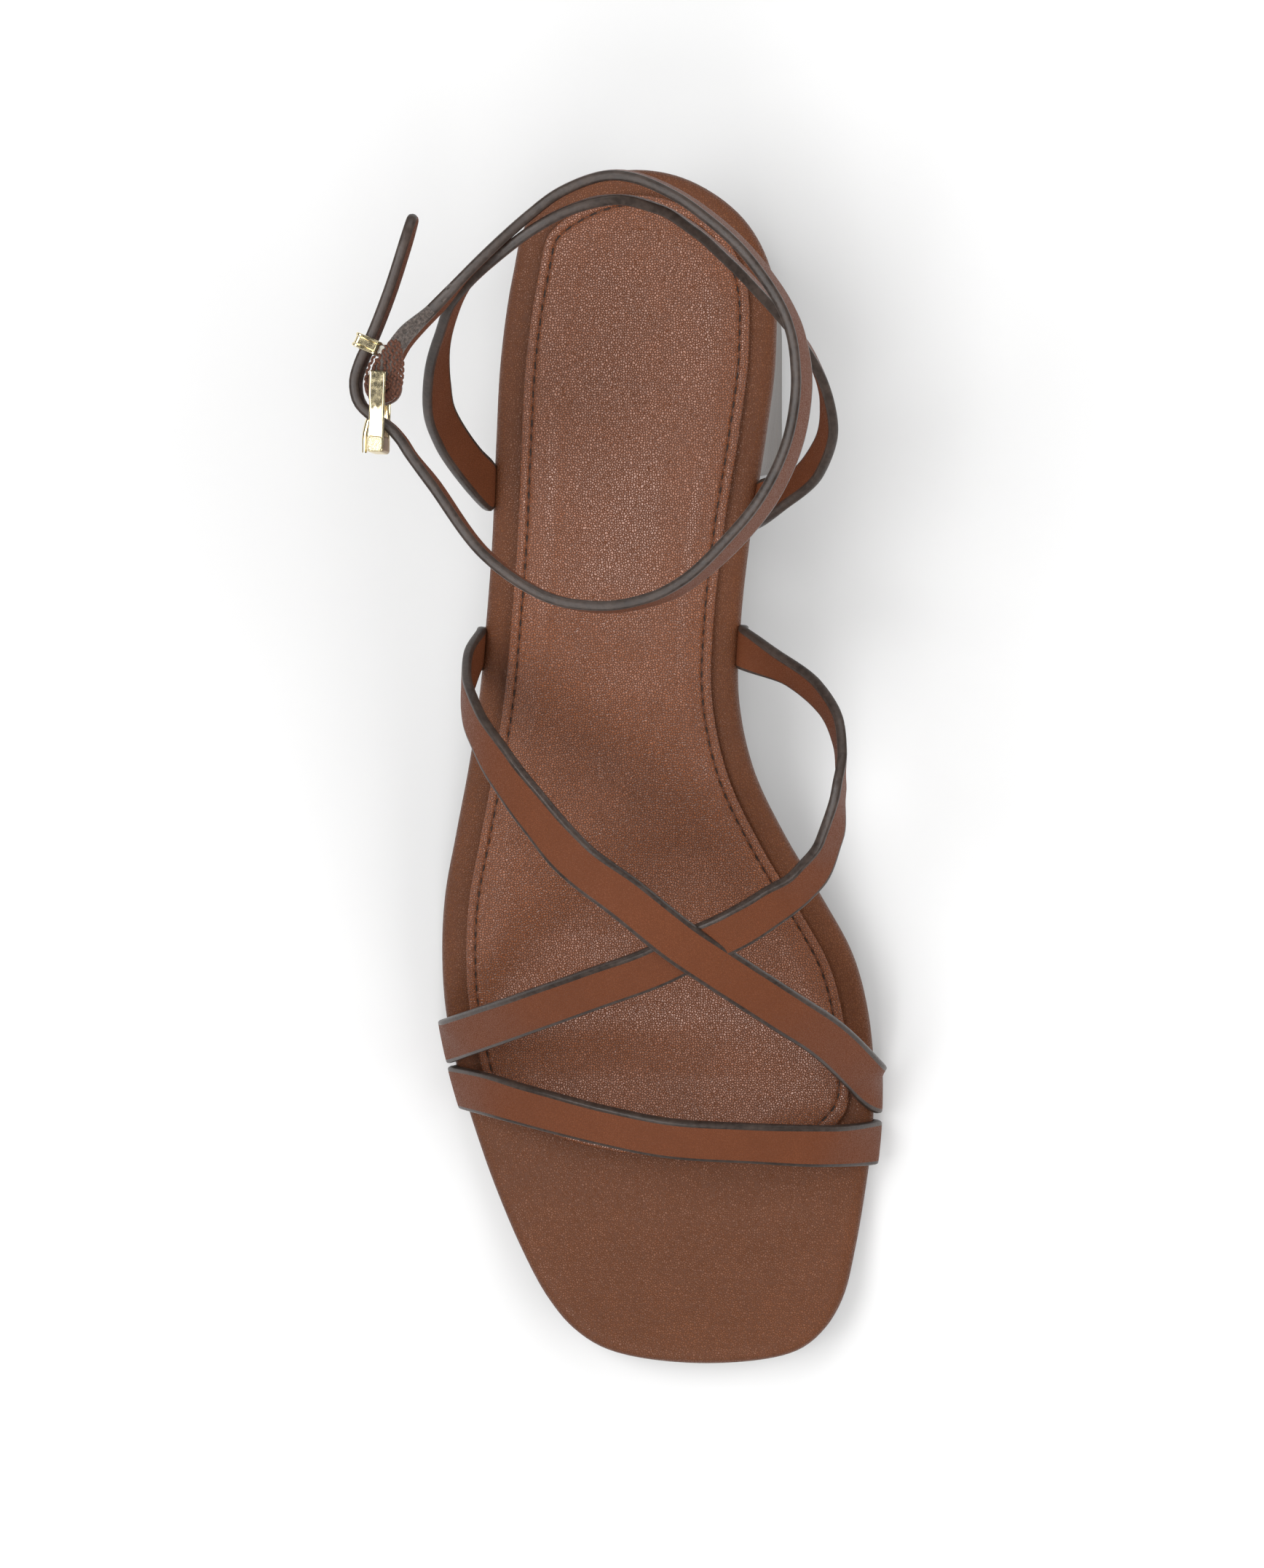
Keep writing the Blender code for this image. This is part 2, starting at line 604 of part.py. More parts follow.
def front_straps():
    toe = solid("toe_strap", ribbon(dense(route_stations(TOE_STRAP, INSTEP_HEIGHT), STRAP_STEP), STRAP_WIDTH),
                "strap_leather")
    over = solid("cross_straps",
                 ribbon(dense(route_stations(CROSS_STRAP_OVER, INSTEP_HEIGHT), STRAP_STEP), STRAP_WIDTH),
                 "strap_leather")
    under = solid("strap_under_joined",
                  ribbon(dense(route_stations(CROSS_STRAP_UNDER, INSTEP_HEIGHT), STRAP_STEP), STRAP_WIDTH))
    combine(over, under, "UNION")
    return toe, over


def buckle_axes():
    """Matrix that takes ahead, out and up from the buckle's pin to the world."""
    heading = math.radians(BUCKLE_HEADING)
    ahead = Vector((-math.sin(heading), -math.cos(heading), 0.0))
    up = Vector((0.0, 0.0, 1.0))
    out = up.cross(ahead) * -1
    out = out if out.x < 0 else -out
    turned = Matrix((ahead, out, up)).transposed().to_4x4()
    return Matrix.Translation(raise_point(BUCKLE_PIN, ANKLE_HEIGHT)) @ turned


def near_buckle(spot):
    return buckle_axes() @ Vector((spot.ahead, spot.out, 0.0))


def rear_straps():
    """The strap round the back of the heel and the ankle strap, sewn together behind the heel."""
    double = 2 * STRAP_THICKNESS + GAP
    tab = [near_buckle(spot) for spot in BUCKLE_TAB]
    ring = [raise_point(row, ANKLE_HEIGHT) for row in ANKLE_STRAP]
    through = [near_buckle(spot) for spot in STRAP_THROUGH_BUCKLE]
    middles = tab + ring + through
    leans = [0] * len(tab) + [row.lean for row in ANKLE_STRAP] + [0] * len(through)
    thick = [double, double, 0.85 * double, 1.2 * STRAP_THICKNESS]
    thick += [STRAP_THICKNESS] * (len(ring) + len(through))
    stations = [leaning(middles, i, leans[i], thick[i]) for i in range(len(middles))]
    straps = solid("heel_and_ankle_straps", ribbon(dense(stations, STRAP_STEP), STRAP_WIDTH, tip=True),
                   "strap_leather")
    heel_strap = solid("heel_strap_joined",
                       ribbon(dense(route_stations(HEEL_STRAP, ANKLE_HEIGHT), STRAP_STEP), STRAP_WIDTH))
    combine(straps, heel_strap, "UNION")
    eye_radius = PIN_RADIUS + CLEARANCE + STRAP_THICKNESS
    combine(straps, upright("buckle_fold_joined", Near(0.0, 0.0), eye_radius,
                            STRAP_WIDTH - STRAP_EDGE), "UNION")
    combine(straps, upright("pin_bore", Near(0.0, 0.0), PIN_RADIUS + CLEARANCE, 2 * STRAP_WIDTH), "DIFFERENCE")
    ring_radius = PIN_RADIUS + CLEARANCE + PRONG_RING_WALL + CLEARANCE
    slot_height = 2 * (PRONG_RADIUS + CLEARANCE)
    slot = block("prong_slot", (-ring_radius, 2 * eye_radius), (-eye_radius - CLEARANCE, eye_radius + CLEARANCE),
                 (-slot_height / 2, slot_height / 2))
    combine(straps, slot, "DIFFERENCE")
    combine(straps, prong_tube("prong_hole", PRONG[1:4], PRONG_RADIUS + CLEARANCE), "DIFFERENCE")
    return straps


def upright(name, spot, radius, height, finish=None):
    """Cylinder that stands on the buckle's up axis."""
    mesh = bmesh.new()
    bmesh.ops.create_cone(mesh, cap_ends=True, segments=SECTION_SIDES, radius1=radius, radius2=radius,
                          depth=height, matrix=buckle_axes() @ Matrix.Translation((spot.ahead, spot.out, 0.0)))
    return solid(name, mesh, finish)


def block(name, ahead, out, up, finish=None):
    """Box between limits ahead of the buckle's pin, out from it and up from it."""
    mesh = bmesh.new()
    bmesh.ops.create_cube(mesh, size=1.0)
    for vert in mesh.verts:
        vert.co = buckle_axes() @ Vector([limits[0] + (value + 0.5) * (limits[1] - limits[0])
                                          for value, limits in zip(vert.co, (ahead, out, up))])
    return solid(name, mesh, finish)


def prong_tube(name, spots, radius, finish=None):
    """Round bar through places near the buckle."""
    sides = 10
    mesh = bmesh.new()
    rings = []
    for index, spot in enumerate(spots):
        first, second = spots[max(index - 1, 0)], spots[min(index + 1, len(spots) - 1)]
        run = Vector((second.ahead - first.ahead, second.out - first.out, 0.0)).normalized()
        square = Vector((-run.y, run.x, 0.0))
        shrink = 0.7 if finish and index == len(spots) - 1 else 1.0
        ring = []
        for side in range(sides):
            angle = math.tau * side / sides
            offset = square * math.cos(angle) + Vector((0.0, 0.0, math.sin(angle)))
            ring.append(buckle_axes() @ (Vector((spot.ahead, spot.out, 0.0)) + offset * radius * shrink))
        rings.append(ring)
    made = loft(mesh, rings)
    mesh.faces.new(made[0])
    mesh.faces.new(made[-1])
    return solid(name, mesh, finish)


def buckle_prong():
    prong = prong_tube("buckle_prong", PRONG, PRONG_RADIUS, "gold_metal")
    height = 2 * PRONG_RADIUS
    outer = upright("prong_ring_joined", Near(0.0, 0.0), PIN_RADIUS + CLEARANCE + PRONG_RING_WALL, height)
    combine(prong, outer, "UNION")
    combine(prong, upright("prong_ring_bore", Near(0.0, 0.0), PIN_RADIUS + CLEARANCE, 3 * height), "DIFFERENCE")
    return prong


def side_bar(level):
    """One long side of the buckle's frame, drawn in at its waist."""
    mesh = bmesh.new()
    rings = []
    for share, depth in ((0.0, 0.85), (0.08, 1.0), (0.28, 0.9), (0.50, 0.0), (0.64, 0.0), (0.86, 1.0),
                         (1.0, 1.0)):
        ahead = -BUCKLE_BACK + share * (BUCKLE_BACK + BUCKLE_FRONT - 0.3 * FRONT_BAR_LENGTH)
        half = (BUCKLE_WAIST_DEPTH + depth * (BUCKLE_SIDE_DEPTH - BUCKLE_WAIST_DEPTH)) / 2
        ring = []
        for across, through in strap_section(2 * half, BUCKLE_SIDE_HEIGHT, 0.25 * BUCKLE_SIDE_HEIGHT):
            ring.append(buckle_axes() @ Vector((ahead, FRAME_OUT + across, level + through)))
        rings.append(ring)
    made = loft(mesh, rings)
    mesh.faces.new(made[0])
    mesh.faces.new(made[-1])
    return mesh


def buckle_frame():
    opening = STRAP_WIDTH + 2 * BUCKLE_PLAY
    level = (opening + BUCKLE_SIDE_HEIGHT) / 2
    frame = solid("buckle_frame", side_bar(level), "gold_metal")
    combine(frame, solid("lower_side_joined", side_bar(-level)), "UNION")
    mesh = bmesh.new()
    rings = []
    height = opening + 2.3 * BUCKLE_SIDE_HEIGHT
    for up in (-height / 2, height / 2):
        ring = []
        for through, across in strap_section(FRONT_BAR_LENGTH, FRONT_BAR_DEPTH, 0.3 * FRONT_BAR_LENGTH):
            ring.append(buckle_axes() @ Vector((BUCKLE_FRONT - FRONT_BAR_LENGTH / 2 + through,
                                                FRAME_OUT + across, up)))
        rings.append(ring)
    made = loft(mesh, rings)
    mesh.faces.new(made[0])
    mesh.faces.new(made[-1])
    combine(frame, solid("front_bar_joined", mesh), "UNION")
    combine(frame, upright("pin_joined", Near(0.0, 0.0), PIN_RADIUS, 2 * level), "UNION")
    return frame


def keeper():
    """Metal loop round the strap's free end."""
    spots = STRAP_THROUGH_BUCKLE
    before, here, after = spots[KEEPER_PLACE - 1], spots[KEEPER_PLACE], spots[KEEPER_PLACE + 1]
    run = Vector((after.ahead - before.ahead, after.out - before.out, 0.0)).normalized()
    square = Vector((-run.y, run.x, 0.0))
    height = STRAP_WIDTH + 2 * BUCKLE_PLAY + 2 * KEEPER_WALL
    centre = Vector((here.ahead, here.out, 0.0))
    mesh = bmesh.new()
    loops = []
    for depth, tall in ((KEEPER_DEPTH, height), (KEEPER_DEPTH - 2 * KEEPER_WALL, height - 2 * KEEPER_WALL)):
        for end in (-0.5, 0.5):
            loop = []
            for across, up in strap_section(depth, tall, 0.8 * KEEPER_WALL):
                place = centre + run * (end * KEEPER_LENGTH) + square * across + Vector((0.0, 0.0, up))
                loop.append(mesh.verts.new(buckle_axes() @ place))
            loops.append(loop)
    outer_back, outer_front, inner_back, inner_front = loops
    for first, second in ((outer_back, outer_front), (outer_front, inner_front), (inner_front, inner_back),
                          (inner_back, outer_back)):
        for i in range(len(first)):
            j = (i + 1) % len(first)
            mesh.faces.new((first[i], first[j], second[j], second[i]))
    return solid("strap_keeper", mesh, "gold_metal")


def main():
    for old in list(bpy.data.objects):
        bpy.data.objects.remove(old, do_unlink=True)
    outsole()
    bed = footbed()
    sock()
    heel()
    front_straps()
    rear_straps()
    buckle_frame()
    buckle_prong()
    keeper()
    ends = [TOE_STRAP, CROSS_STRAP_OVER, CROSS_STRAP_UNDER, HEEL_STRAP]
    for number, route in enumerate(ends):
        for which in (0, -1):
            combine(bed, slit_cutter(f"strap_slit_{number}_{which + 1}", route[which]), "DIFFERENCE")


main()
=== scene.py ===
"""Strappy block-heel sandal, dressed for its picture.

The sizes, tables and curves are the part's own, so that every piece lies on its CAD solid.
The toe points to -Y, the foot's inner (medial) side to +X, and the floor is z = 0, in metres.
"""

import math
from collections import namedtuple

import bmesh
import bpy
from mathutils import Matrix, Vector, noise


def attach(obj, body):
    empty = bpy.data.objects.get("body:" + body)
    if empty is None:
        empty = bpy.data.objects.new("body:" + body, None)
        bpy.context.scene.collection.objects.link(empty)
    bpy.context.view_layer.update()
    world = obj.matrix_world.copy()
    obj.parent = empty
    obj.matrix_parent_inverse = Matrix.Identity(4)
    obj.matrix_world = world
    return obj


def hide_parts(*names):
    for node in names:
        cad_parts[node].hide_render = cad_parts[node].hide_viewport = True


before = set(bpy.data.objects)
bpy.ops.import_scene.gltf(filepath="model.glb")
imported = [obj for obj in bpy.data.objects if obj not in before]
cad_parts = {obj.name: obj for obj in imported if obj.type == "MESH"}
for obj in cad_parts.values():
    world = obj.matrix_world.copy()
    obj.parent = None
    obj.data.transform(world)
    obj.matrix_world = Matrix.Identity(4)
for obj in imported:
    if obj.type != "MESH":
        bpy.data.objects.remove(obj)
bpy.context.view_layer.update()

bl_info = {
    "name": "Strappy block-heel sandal",
    "version": (1, 0, 0),
    "blender": (4, 5, 0),
    "location": "3D View > Sidebar > Sandal",
    "description": "Leather, stitching, stacked heel and buckle over the sandal's CAD solids",
    "category": "Object",
}

# Driving sizes of the last, as in the part's source
LENGTH = 0.238
BALL_WIDTH = 0.086
HEEL_RISE = 0.058
TOE_SPRING = 0.0066
INSTEP_HEIGHT = 0.060
ANKLE_HEIGHT = 0.058
OUTSOLE_THICKNESS = 0.0028
OUTSOLE_INSET = 0.0006
BED_THICKNESS = 0.0050
SOCK_MARGIN = 0.0052
SOCK_FRONT = 0.772
GAP = 0.0003
HEEL_LENGTH = 0.0595
HEEL_FOOT_LENGTH = 0.0545
HEEL_FOOT_BREADTH = 0.0524
HEEL_ROUND = 0.0275
HEEL_BACK_TAPER = 0.0028
HEEL_SEAT_INSET = 0.0012
HEEL_CORNER = 0.0028
TOP_PIECE_THICKNESS = 0.0055
STRAP_WIDTH = 0.0090
STRAP_THICKNESS = 0.0020
STRAP_TUCK = 0.0060
STRAP_INLAY = 0.0003
SLIT_ROOM = 0.0002
CLEARANCE = 0.0003
PIN_RADIUS = 0.0009
BUCKLE_FRONT = 0.0122
BUCKLE_BACK = 0.0027
BUCKLE_SIDE_HEIGHT = 0.0018
BUCKLE_SIDE_DEPTH = 0.0030
BUCKLE_WAIST_DEPTH = 0.0026
BUCKLE_PLAY = 0.0005
FRONT_BAR_LENGTH = 0.0031
FRONT_BAR_DEPTH = 0.0031
FRAME_OUT = 0.0006
PRONG_RADIUS = 0.00065
PRONG_RING_WALL = 0.0008
KEEPER_LENGTH = 0.0026
KEEPER_DEPTH = 0.0051
KEEPER_WALL = 0.0006

BED_FLOOR = OUTSOLE_THICKNESS + GAP
BED_TOP = BED_FLOOR + BED_THICKNESS
SOCK_FLOOR = BED_TOP + GAP
BACK = HEEL_BACK_TAPER + HEEL_FOOT_LENGTH / 2

# How finely the pieces are drawn
OUTLINE_POINTS = 360
STRAP_STEP = 0.0012

# Side profile of the outsole's underside: place along the foot from the heel, and share of HEEL_RISE
Rise = namedtuple("Rise", "along rise")
HEEL_PROFILE = [Rise(0.00, 1.000), Rise(0.08, 0.985), Rise(0.16, 0.945), Rise(0.24, 0.865),
                Rise(0.32, 0.745), Rise(0.40, 0.595), Rise(0.48, 0.430), Rise(0.56, 0.270),
                Rise(0.63, 0.145), Rise(0.70, 0.045), Rise(0.76, 0.000), Rise(1.00, 0.000)]
# Toe spring: share of TOE_SPRING
TOE_PROFILE = [Rise(0.00, 0.00), Rise(0.86, 0.00), Rise(0.93, 0.35), Rise(1.00, 1.00)]
# Heel: share of its height from the foot up, and share of the way back to the foot's plan
HEEL_TAPER = [Rise(0.00, 1.00), Rise(0.30, 0.72), Rise(0.65, 0.36), Rise(1.00, 0.00)]
# Buckle's side bar: place along it, and share of the way from its waist's depth to its full depth
BAR_PROFILE = [Rise(0.00, 0.85), Rise(0.08, 1.00), Rise(0.28, 0.90), Rise(0.50, 0.00),
               Rise(0.64, 0.00), Rise(0.86, 1.00), Rise(1.00, 1.00)]

# Outline of the footbed: place along the foot, and both edges as shares of BALL_WIDTH
Edge = namedtuple("Edge", "along lateral medial")
OUTLINE = [
    Edge(0.000, -0.012, -0.012), Edge(0.009, -0.134, 0.110), Edge(0.040, -0.255, 0.230),
    Edge(0.085, -0.291, 0.294), Edge(0.150, -0.319, 0.302), Edge(0.220, -0.333, 0.278),
    Edge(0.300, -0.347, 0.241), Edge(0.370, -0.367, 0.218), Edge(0.430, -0.388, 0.212),
    Edge(0.490, -0.419, 0.244), Edge(0.545, -0.453, 0.313), Edge(0.600, -0.485, 0.401),
    Edge(0.650, -0.496, 0.474), Edge(0.700, -0.491, 0.510), Edge(0.755, -0.463, 0.524),
    Edge(0.810, -0.417, 0.519), Edge(0.860, -0.367, 0.501), Edge(0.905, -0.312, 0.479),
    Edge(0.945, -0.250, 0.451), Edge(0.972, -0.184, 0.405), Edge(0.990, -0.095, 0.336),
    Edge(1.000, 0.128, 0.128)]

# A strap's route. along is a share of LENGTH, across of BALL_WIDTH, and rise of the height named with the
# table, over the footbed. lean is the strap's own turn in degrees: 0 stands on edge, and 90 or -90 lies
# flat with its heel-side edge to the right or left of the way it runs.
Row = namedtuple("Row", "along across rise lean")
# Where a strap goes down the footbed's side: the side, the place along the foot at the rim, and how far
# its foot runs towards the toe on its way down, as a share of the sole's depth there
Anchor = namedtuple("Anchor", "side along slant")

TOE_STRAP = [
    Anchor("lateral", 0.765, 0.05),
    Row(0.768, -0.379, 0.217, -66), Row(0.775, -0.284, 0.327, -64), Row(0.790, -0.099, 0.412, -62),
    Row(0.800, 0.050, 0.421, -62), Row(0.805, 0.235, 0.370, -62), Row(0.810, 0.414, 0.238, -66),
    Anchor("medial", 0.812, 0.0)]
CROSS_STRAP_OVER = [
    Anchor("medial", 0.768, 0.0),
    Row(0.750, 0.500, 0.190, 84), Row(0.715, 0.413, 0.420, 82), Row(0.688, 0.313, 0.575, 80),
    Row(0.649, 0.160, 0.695, 80), Row(0.628, 0.080, 0.738, 80), Row(0.593, -0.034, 0.770, 76),
    Row(0.560, -0.149, 0.771, 68), Row(0.527, -0.226, 0.741, 58), Row(0.488, -0.309, 0.633, 46),
    Row(0.452, -0.373, 0.477, 26), Row(0.425, -0.401, 0.306, 8), Row(0.405, -0.397, 0.150, -6),
    Anchor("lateral", 0.391, -0.10)]
CROSS_STRAP_UNDER = [
    Anchor("lateral", 0.7255, 0.05),
    Row(0.719, -0.450, 0.173, -70), Row(0.707, -0.371, 0.345, -66), Row(0.693, -0.276, 0.497, -63),
    Row(0.670, -0.113, 0.634, -62), Row(0.652, 0.019, 0.685, -62), Row(0.636, 0.109, 0.692, -64),
    Row(0.619, 0.210, 0.691, -62), Row(0.600, 0.292, 0.693, -55), Row(0.577, 0.374, 0.685, -42),
    Row(0.545, 0.424, 0.668, -25), Row(0.506, 0.445, 0.601, -8), Row(0.480, 0.450, 0.515, 4),
    Row(0.455, 0.441, 0.417, 12), Row(0.429, 0.400, 0.276, 18), Row(0.407, 0.322, 0.140, 23),
    Anchor("medial", 0.389, -0.10)]
HEEL_STRAP = [
    Anchor("lateral", 0.257, -0.10),
    Row(0.240, -0.386, 0.155, -26), Row(0.213, -0.429, 0.308, -20), Row(0.189, -0.440, 0.457, -14),
    Row(0.159, -0.430, 0.604, -6), Row(0.133, -0.401, 0.743, 0), Row(0.110, -0.362, 0.870, 4),
    Row(0.089, -0.292, 0.965, 5), Row(0.066, -0.203, 1.005, 5), Row(0.052, -0.130, 1.005, 5),
    Row(0.043, -0.040, 0.985, 5), Row(0.047, 0.047, 0.925, 5), Row(0.060, 0.121, 0.840, 5),
    Row(0.080, 0.192, 0.745, 5), Row(0.104, 0.262, 0.655, 5), Row(0.134, 0.337, 0.560, 3),
    Row(0.165, 0.396, 0.465, 0), Row(0.203, 0.424, 0.365, -9), Row(0.236, 0.400, 0.260, -18),
    Row(0.260, 0.333, 0.140, -21),
    Anchor("medial", 0.271, 0.0)]
ANKLE_STRAP = [
    Row(0.097, -0.336, 1.030, 5), Row(0.056, -0.214, 1.008, 5), Row(0.037, -0.142, 1.006, 5),
    Row(0.025, -0.051, 1.004, 5), Row(0.026, 0.012, 1.004, 6), Row(0.040, 0.104, 1.006, 7),
    Row(0.061, 0.186, 1.009, 8), Row(0.081, 0.246, 1.015, 8), Row(0.103, 0.295, 1.022, 9),
    Row(0.124, 0.332, 1.030, 10), Row(0.145, 0.356, 1.042, 12), Row(0.176, 0.370, 1.065, 15),
    Row(0.205, 0.366, 1.092, 15), Row(0.236, 0.346, 1.126, 15), Row(0.271, 0.300, 1.170, 15),
    Row(0.301, 0.236, 1.216, 14), Row(0.339, 0.121, 1.282, 9), Row(0.352, 0.040, 1.306, 5),
    Row(0.357, -0.058, 1.318, 3), Row(0.349, -0.174, 1.302, 0), Row(0.316, -0.306, 1.245, -2),
    Row(0.262, -0.416, 1.160, -3)]

# The buckle's pin, and the way its frame points, in degrees out from straight ahead
BUCKLE_PIN = Row(0.187, -0.523, 1.074, 0)
BUCKLE_HEADING = 2.0
# Places round the buckle, ahead of its pin and out from it, in metres
Near = namedtuple("Near", "ahead out")
STRAP_THROUGH_BUCKLE = [Near(0.0122, -0.0054), Near(0.0096, -0.0036), Near(0.0072, -0.0012),
                        Near(0.0054, 0.0019), Near(0.0030, 0.0043), Near(-0.0006, 0.0051),
                        Near(-0.0042, 0.0043), Near(-0.0076, 0.0029), Near(-0.0115, 0.0014),
                        Near(-0.0180, -0.0008), Near(-0.0250, -0.0028), Near(-0.0318, -0.0046)]
KEEPER_PLACE = 7
BUCKLE_TAB = [Near(-0.0012, 0.0), Near(-0.0045, -0.0010), Near(-0.0092, -0.0037), Near(-0.0148, -0.0092)]
PRONG = [Near(0.0014, 0.0005), Near(0.0032, 0.0013), Near(0.0052, 0.0021), Near(0.0086, 0.0030),
         Near(0.0122, 0.0031)]
# Rows of thread on the fold's upper and lower edges
FOLD_LINES = [
    [Near(-0.0080, -0.0029), Near(-0.0056, -0.0036), Near(-0.0026, -0.0038), Near(0.0, -0.0035),
     Near(0.0016, -0.0028), Near(0.0025, -0.0016)],
    [Near(-0.0083, -0.0023), Near(-0.0056, -0.0030), Near(-0.0026, -0.0032), Near(0.0, -0.0029),
     Near(0.0014, -0.0021)],
    [Near(-0.0082, -0.0017), Near(-0.0056, -0.0024), Near(-0.0026, -0.0026), Near(0.0004, -0.0021)],
    [Near(-0.0078, -0.0011), Near(-0.0052, -0.0018), Near(-0.0026, -0.0020), Near(0.0, -0.0014)],
    [Near(-0.0072, -0.0006), Near(-0.0048, -0.0011), Near(-0.0022, -0.0013), Near(0.0004, -0.0009)],
    [Near(-0.0064, -0.0001), Near(-0.0048, -0.0004), Near(-0.0030, -0.0005)],
    [Near(-0.0056, 0.0005), Near(-0.0044, 0.0006), Near(-0.0030, 0.0006)],
    [Near(-0.0052, 0.0016), Near(-0.0034, 0.0024), Near(-0.0012, 0.0029), Near(0.0008, 0.0027),
     Near(0.0020, 0.0021)],
    [Near(-0.0046, 0.0011), Near(-0.0024, 0.0018), Near(-0.0004, 0.0023)]]
# The fold's lower edge, which hardly shows, has no thread on its first rows
LOWER_FOLD_LINES = FOLD_LINES[2:]

# Sections of the sole's layers, from the bottom up: how far in from the edge and how high, in metres
Section = namedtuple("Section", "inset lift")
OUTSOLE_SECTION = [
    Section(0.0050, 0.0), Section(0.0009, 0.0), Section(0.0004, 0.00015), Section(0.0001, 0.0005),
    Section(0.0, 0.0009), Section(0.0, 0.0024), Section(0.0001, OUTSOLE_THICKNESS)]
BED_SECTION = [
    Section(0.0011, 0.0), Section(0.0006, 0.0002), Section(0.00025, 0.0006), Section(0.00008, 0.0012),
    Section(0.0, 0.0020), Section(0.00004, 0.0027), Section(0.0002, 0.0034), Section(0.0005, 0.0040),
    Section(0.0009, 0.0044), Section(0.0015, 0.00474), Section(0.0022, 0.0049),
    Section(0.0031, BED_THICKNESS)]
SEAM = Section(0.00185, 0.0011)
SOCK_SECTION = [
    Section(0.0005, 0.0), Section(0.0003, 0.0005), Section(0.0, 0.0008), Section(0.0, 0.0011),
    Section(0.00015, 0.0013), Section(0.0004, 0.0014), Section(0.0010, 0.00146), Section(0.0014, 0.00148),
    Section(0.0016, 0.00136), SEAM, Section(0.0021, 0.00136), Section(0.0023, 0.00152),
    Section(0.0028, 0.00156), Section(0.0036, 0.00162), Section(0.0048, 0.00178), Section(0.0065, 0.00192)]
# Keeper: place along it as a share of its length, and thickness as a share of its wall's
Wall = namedtuple("Wall", "end wall")
KEEPER_SECTION = [
    Wall(-0.5, 0.75), Wall(-0.46, 0.95), Wall(-0.42, 1.0), Wall(-0.33, 1.0), Wall(-0.24, 0.62),
    Wall(0.24, 0.62), Wall(0.33, 1.0), Wall(0.42, 1.0), Wall(0.46, 0.95), Wall(0.5, 0.75),
    Wall(0.5, 0.15), Wall(0.44, 0.0), Wall(-0.44, 0.0), Wall(-0.5, 0.15)]

# How far from the seam's line its stitches still pull the sock down
SEAM_REACH = 0.0006
UP = Vector((0.0, 0.0, 1.0))
# Reach over which a slope of the side profile is measured, as a share of LENGTH
SLOPE_REACH = 0.004
# The strap's rounded end: its length, and its breadth and thickness at the very tip, as shares
TIP_LENGTH = 0.007
TIP_BREADTH = 0.30
TIP_THICKNESS = 0.3
# A strap's faces: where their points lie, from one side to the other
FACE_PLACES = (-1.0, -0.93, -0.7, -0.35, 0.0, 0.35, 0.7, 0.93, 1.0)
# A strap's edges: how many steps their dome has, and its height as a share of the strap's thickness
DOME_STEPS = 12
DOME_HEIGHT = 0.93
# A folded strap, by its thickness over a single strap's: up to where it is single, and where its groove and
# its raw edge begin, with how unevenly the raw edge ends and how fine that is
SINGLE = 1.02
GROOVE_FROM = 1.25
RAW_FROM = 1.28
FRAY = 0.5
FRAY_SCALE = 700

# The photo's view: far above the sandal, a little beside it
CAMERA_PLACE = (0.04681, BACK - 0.09072, 1.2)
CAMERA_TARGET = (-0.002, -0.089, 0.060)
CAMERA_LENS = 167.0
# Studio lights: place, breadth and depth in metres, watts, and whether they show in reflections
Light = namedtuple("Light", "name place size energy mirrored")
LIGHT_TARGET = (0.0, -0.09, 0.05)
LIGHTS = [
    Light("key_softbox", (-0.68, 0.05, 1.6), (0.72, 1.2), 17.0, True),
    Light("top_softbox", (0.09, -0.10, 1.7), (0.28, 0.9), 4.8, True),
    Light("front_softbox", (-0.10, -1.10, 1.6), (0.7, 0.9), 10.0, True),
    Light("back_softbox", (0.3, 1.7, 1.3), (1.4, 0.7), 9.0, True),
    Light("fill_left", (-1.5, 0.2, 1.5), (1.8, 2.4), 15.0, False),
    Light("fill_right", (1.6, -0.2, 1.5), (1.8, 2.4), 34.0, False),
    Light("fill_front", (0.0, -1.8, 1.6), (2.4, 1.4), 6.0, False)]
WORLD_STRENGTH = 0.09

# A station of a strap: its middle, the way its heel-side or upper edge lies, and its thickness
Station = namedtuple("Station", "middle edge thickness")


def size_property(name, description, default, least, most):
    return bpy.props.FloatProperty(name=name, description=description, default=default, min=least, max=most,
                                   subtype="DISTANCE", unit="LENGTH")


class SandalSizes(bpy.types.PropertyGroup):
    """Sizes that the CAD solids leave open"""
    sock_dish: size_property("Sock dish", "How far the padded sock sinks in its middle",
                             0.0009, 0.0, 0.0012)
    sock_ripple: size_property("Sock ripple", "Height of the soft unevenness of the sock",
                               0.00024, 0.0, 0.0005)
    stitch_pitch: size_property("Stitch pitch", "Distance from one needle hole of the seam to the next",
                                0.00277, 0.0015, 0.006)
    thread_radius: size_property("Thread radius", "Radius of the sock's sewing thread",
                                 0.00015, 0.0001, 0.0005)
    hole_radius: size_property("Needle hole", "Radius of a needle hole", 0.00036, 0.0001, 0.0006)
    stitch_pull: size_property("Stitch pull", "How much a stitch pulls the sock down at its needle holes",
                               0.00018, 0.0, 0.0004)
    hole_stray: size_property("Hole stray", "How far a needle hole may lie off the seam's line",
                              0.00045, 0.0, 0.0006)
    edge_dome: size_property("Painted edge", "How far the strap's painted edge bulges",
                             0.0006, 0.0002, 0.0009)
    knot_size: size_property("Knot size", "Length of a thread knot on the buckle's fold",
                             0.0009, 0.0006, 0.002)
    sock_grain: size_property("Sock grain", "Size of a pebble in the sock's grain", 0.00047, 0.0002, 0.002)
    cover_grain: size_property("Cover grain", "Size of a pebble in the footbed cover's grain",
                               0.00042, 0.0002, 0.002)
    heel_layer: size_property("Heel layer", "Thickness of one layer of the stacked heel",
                              0.0031, 0.001, 0.006)


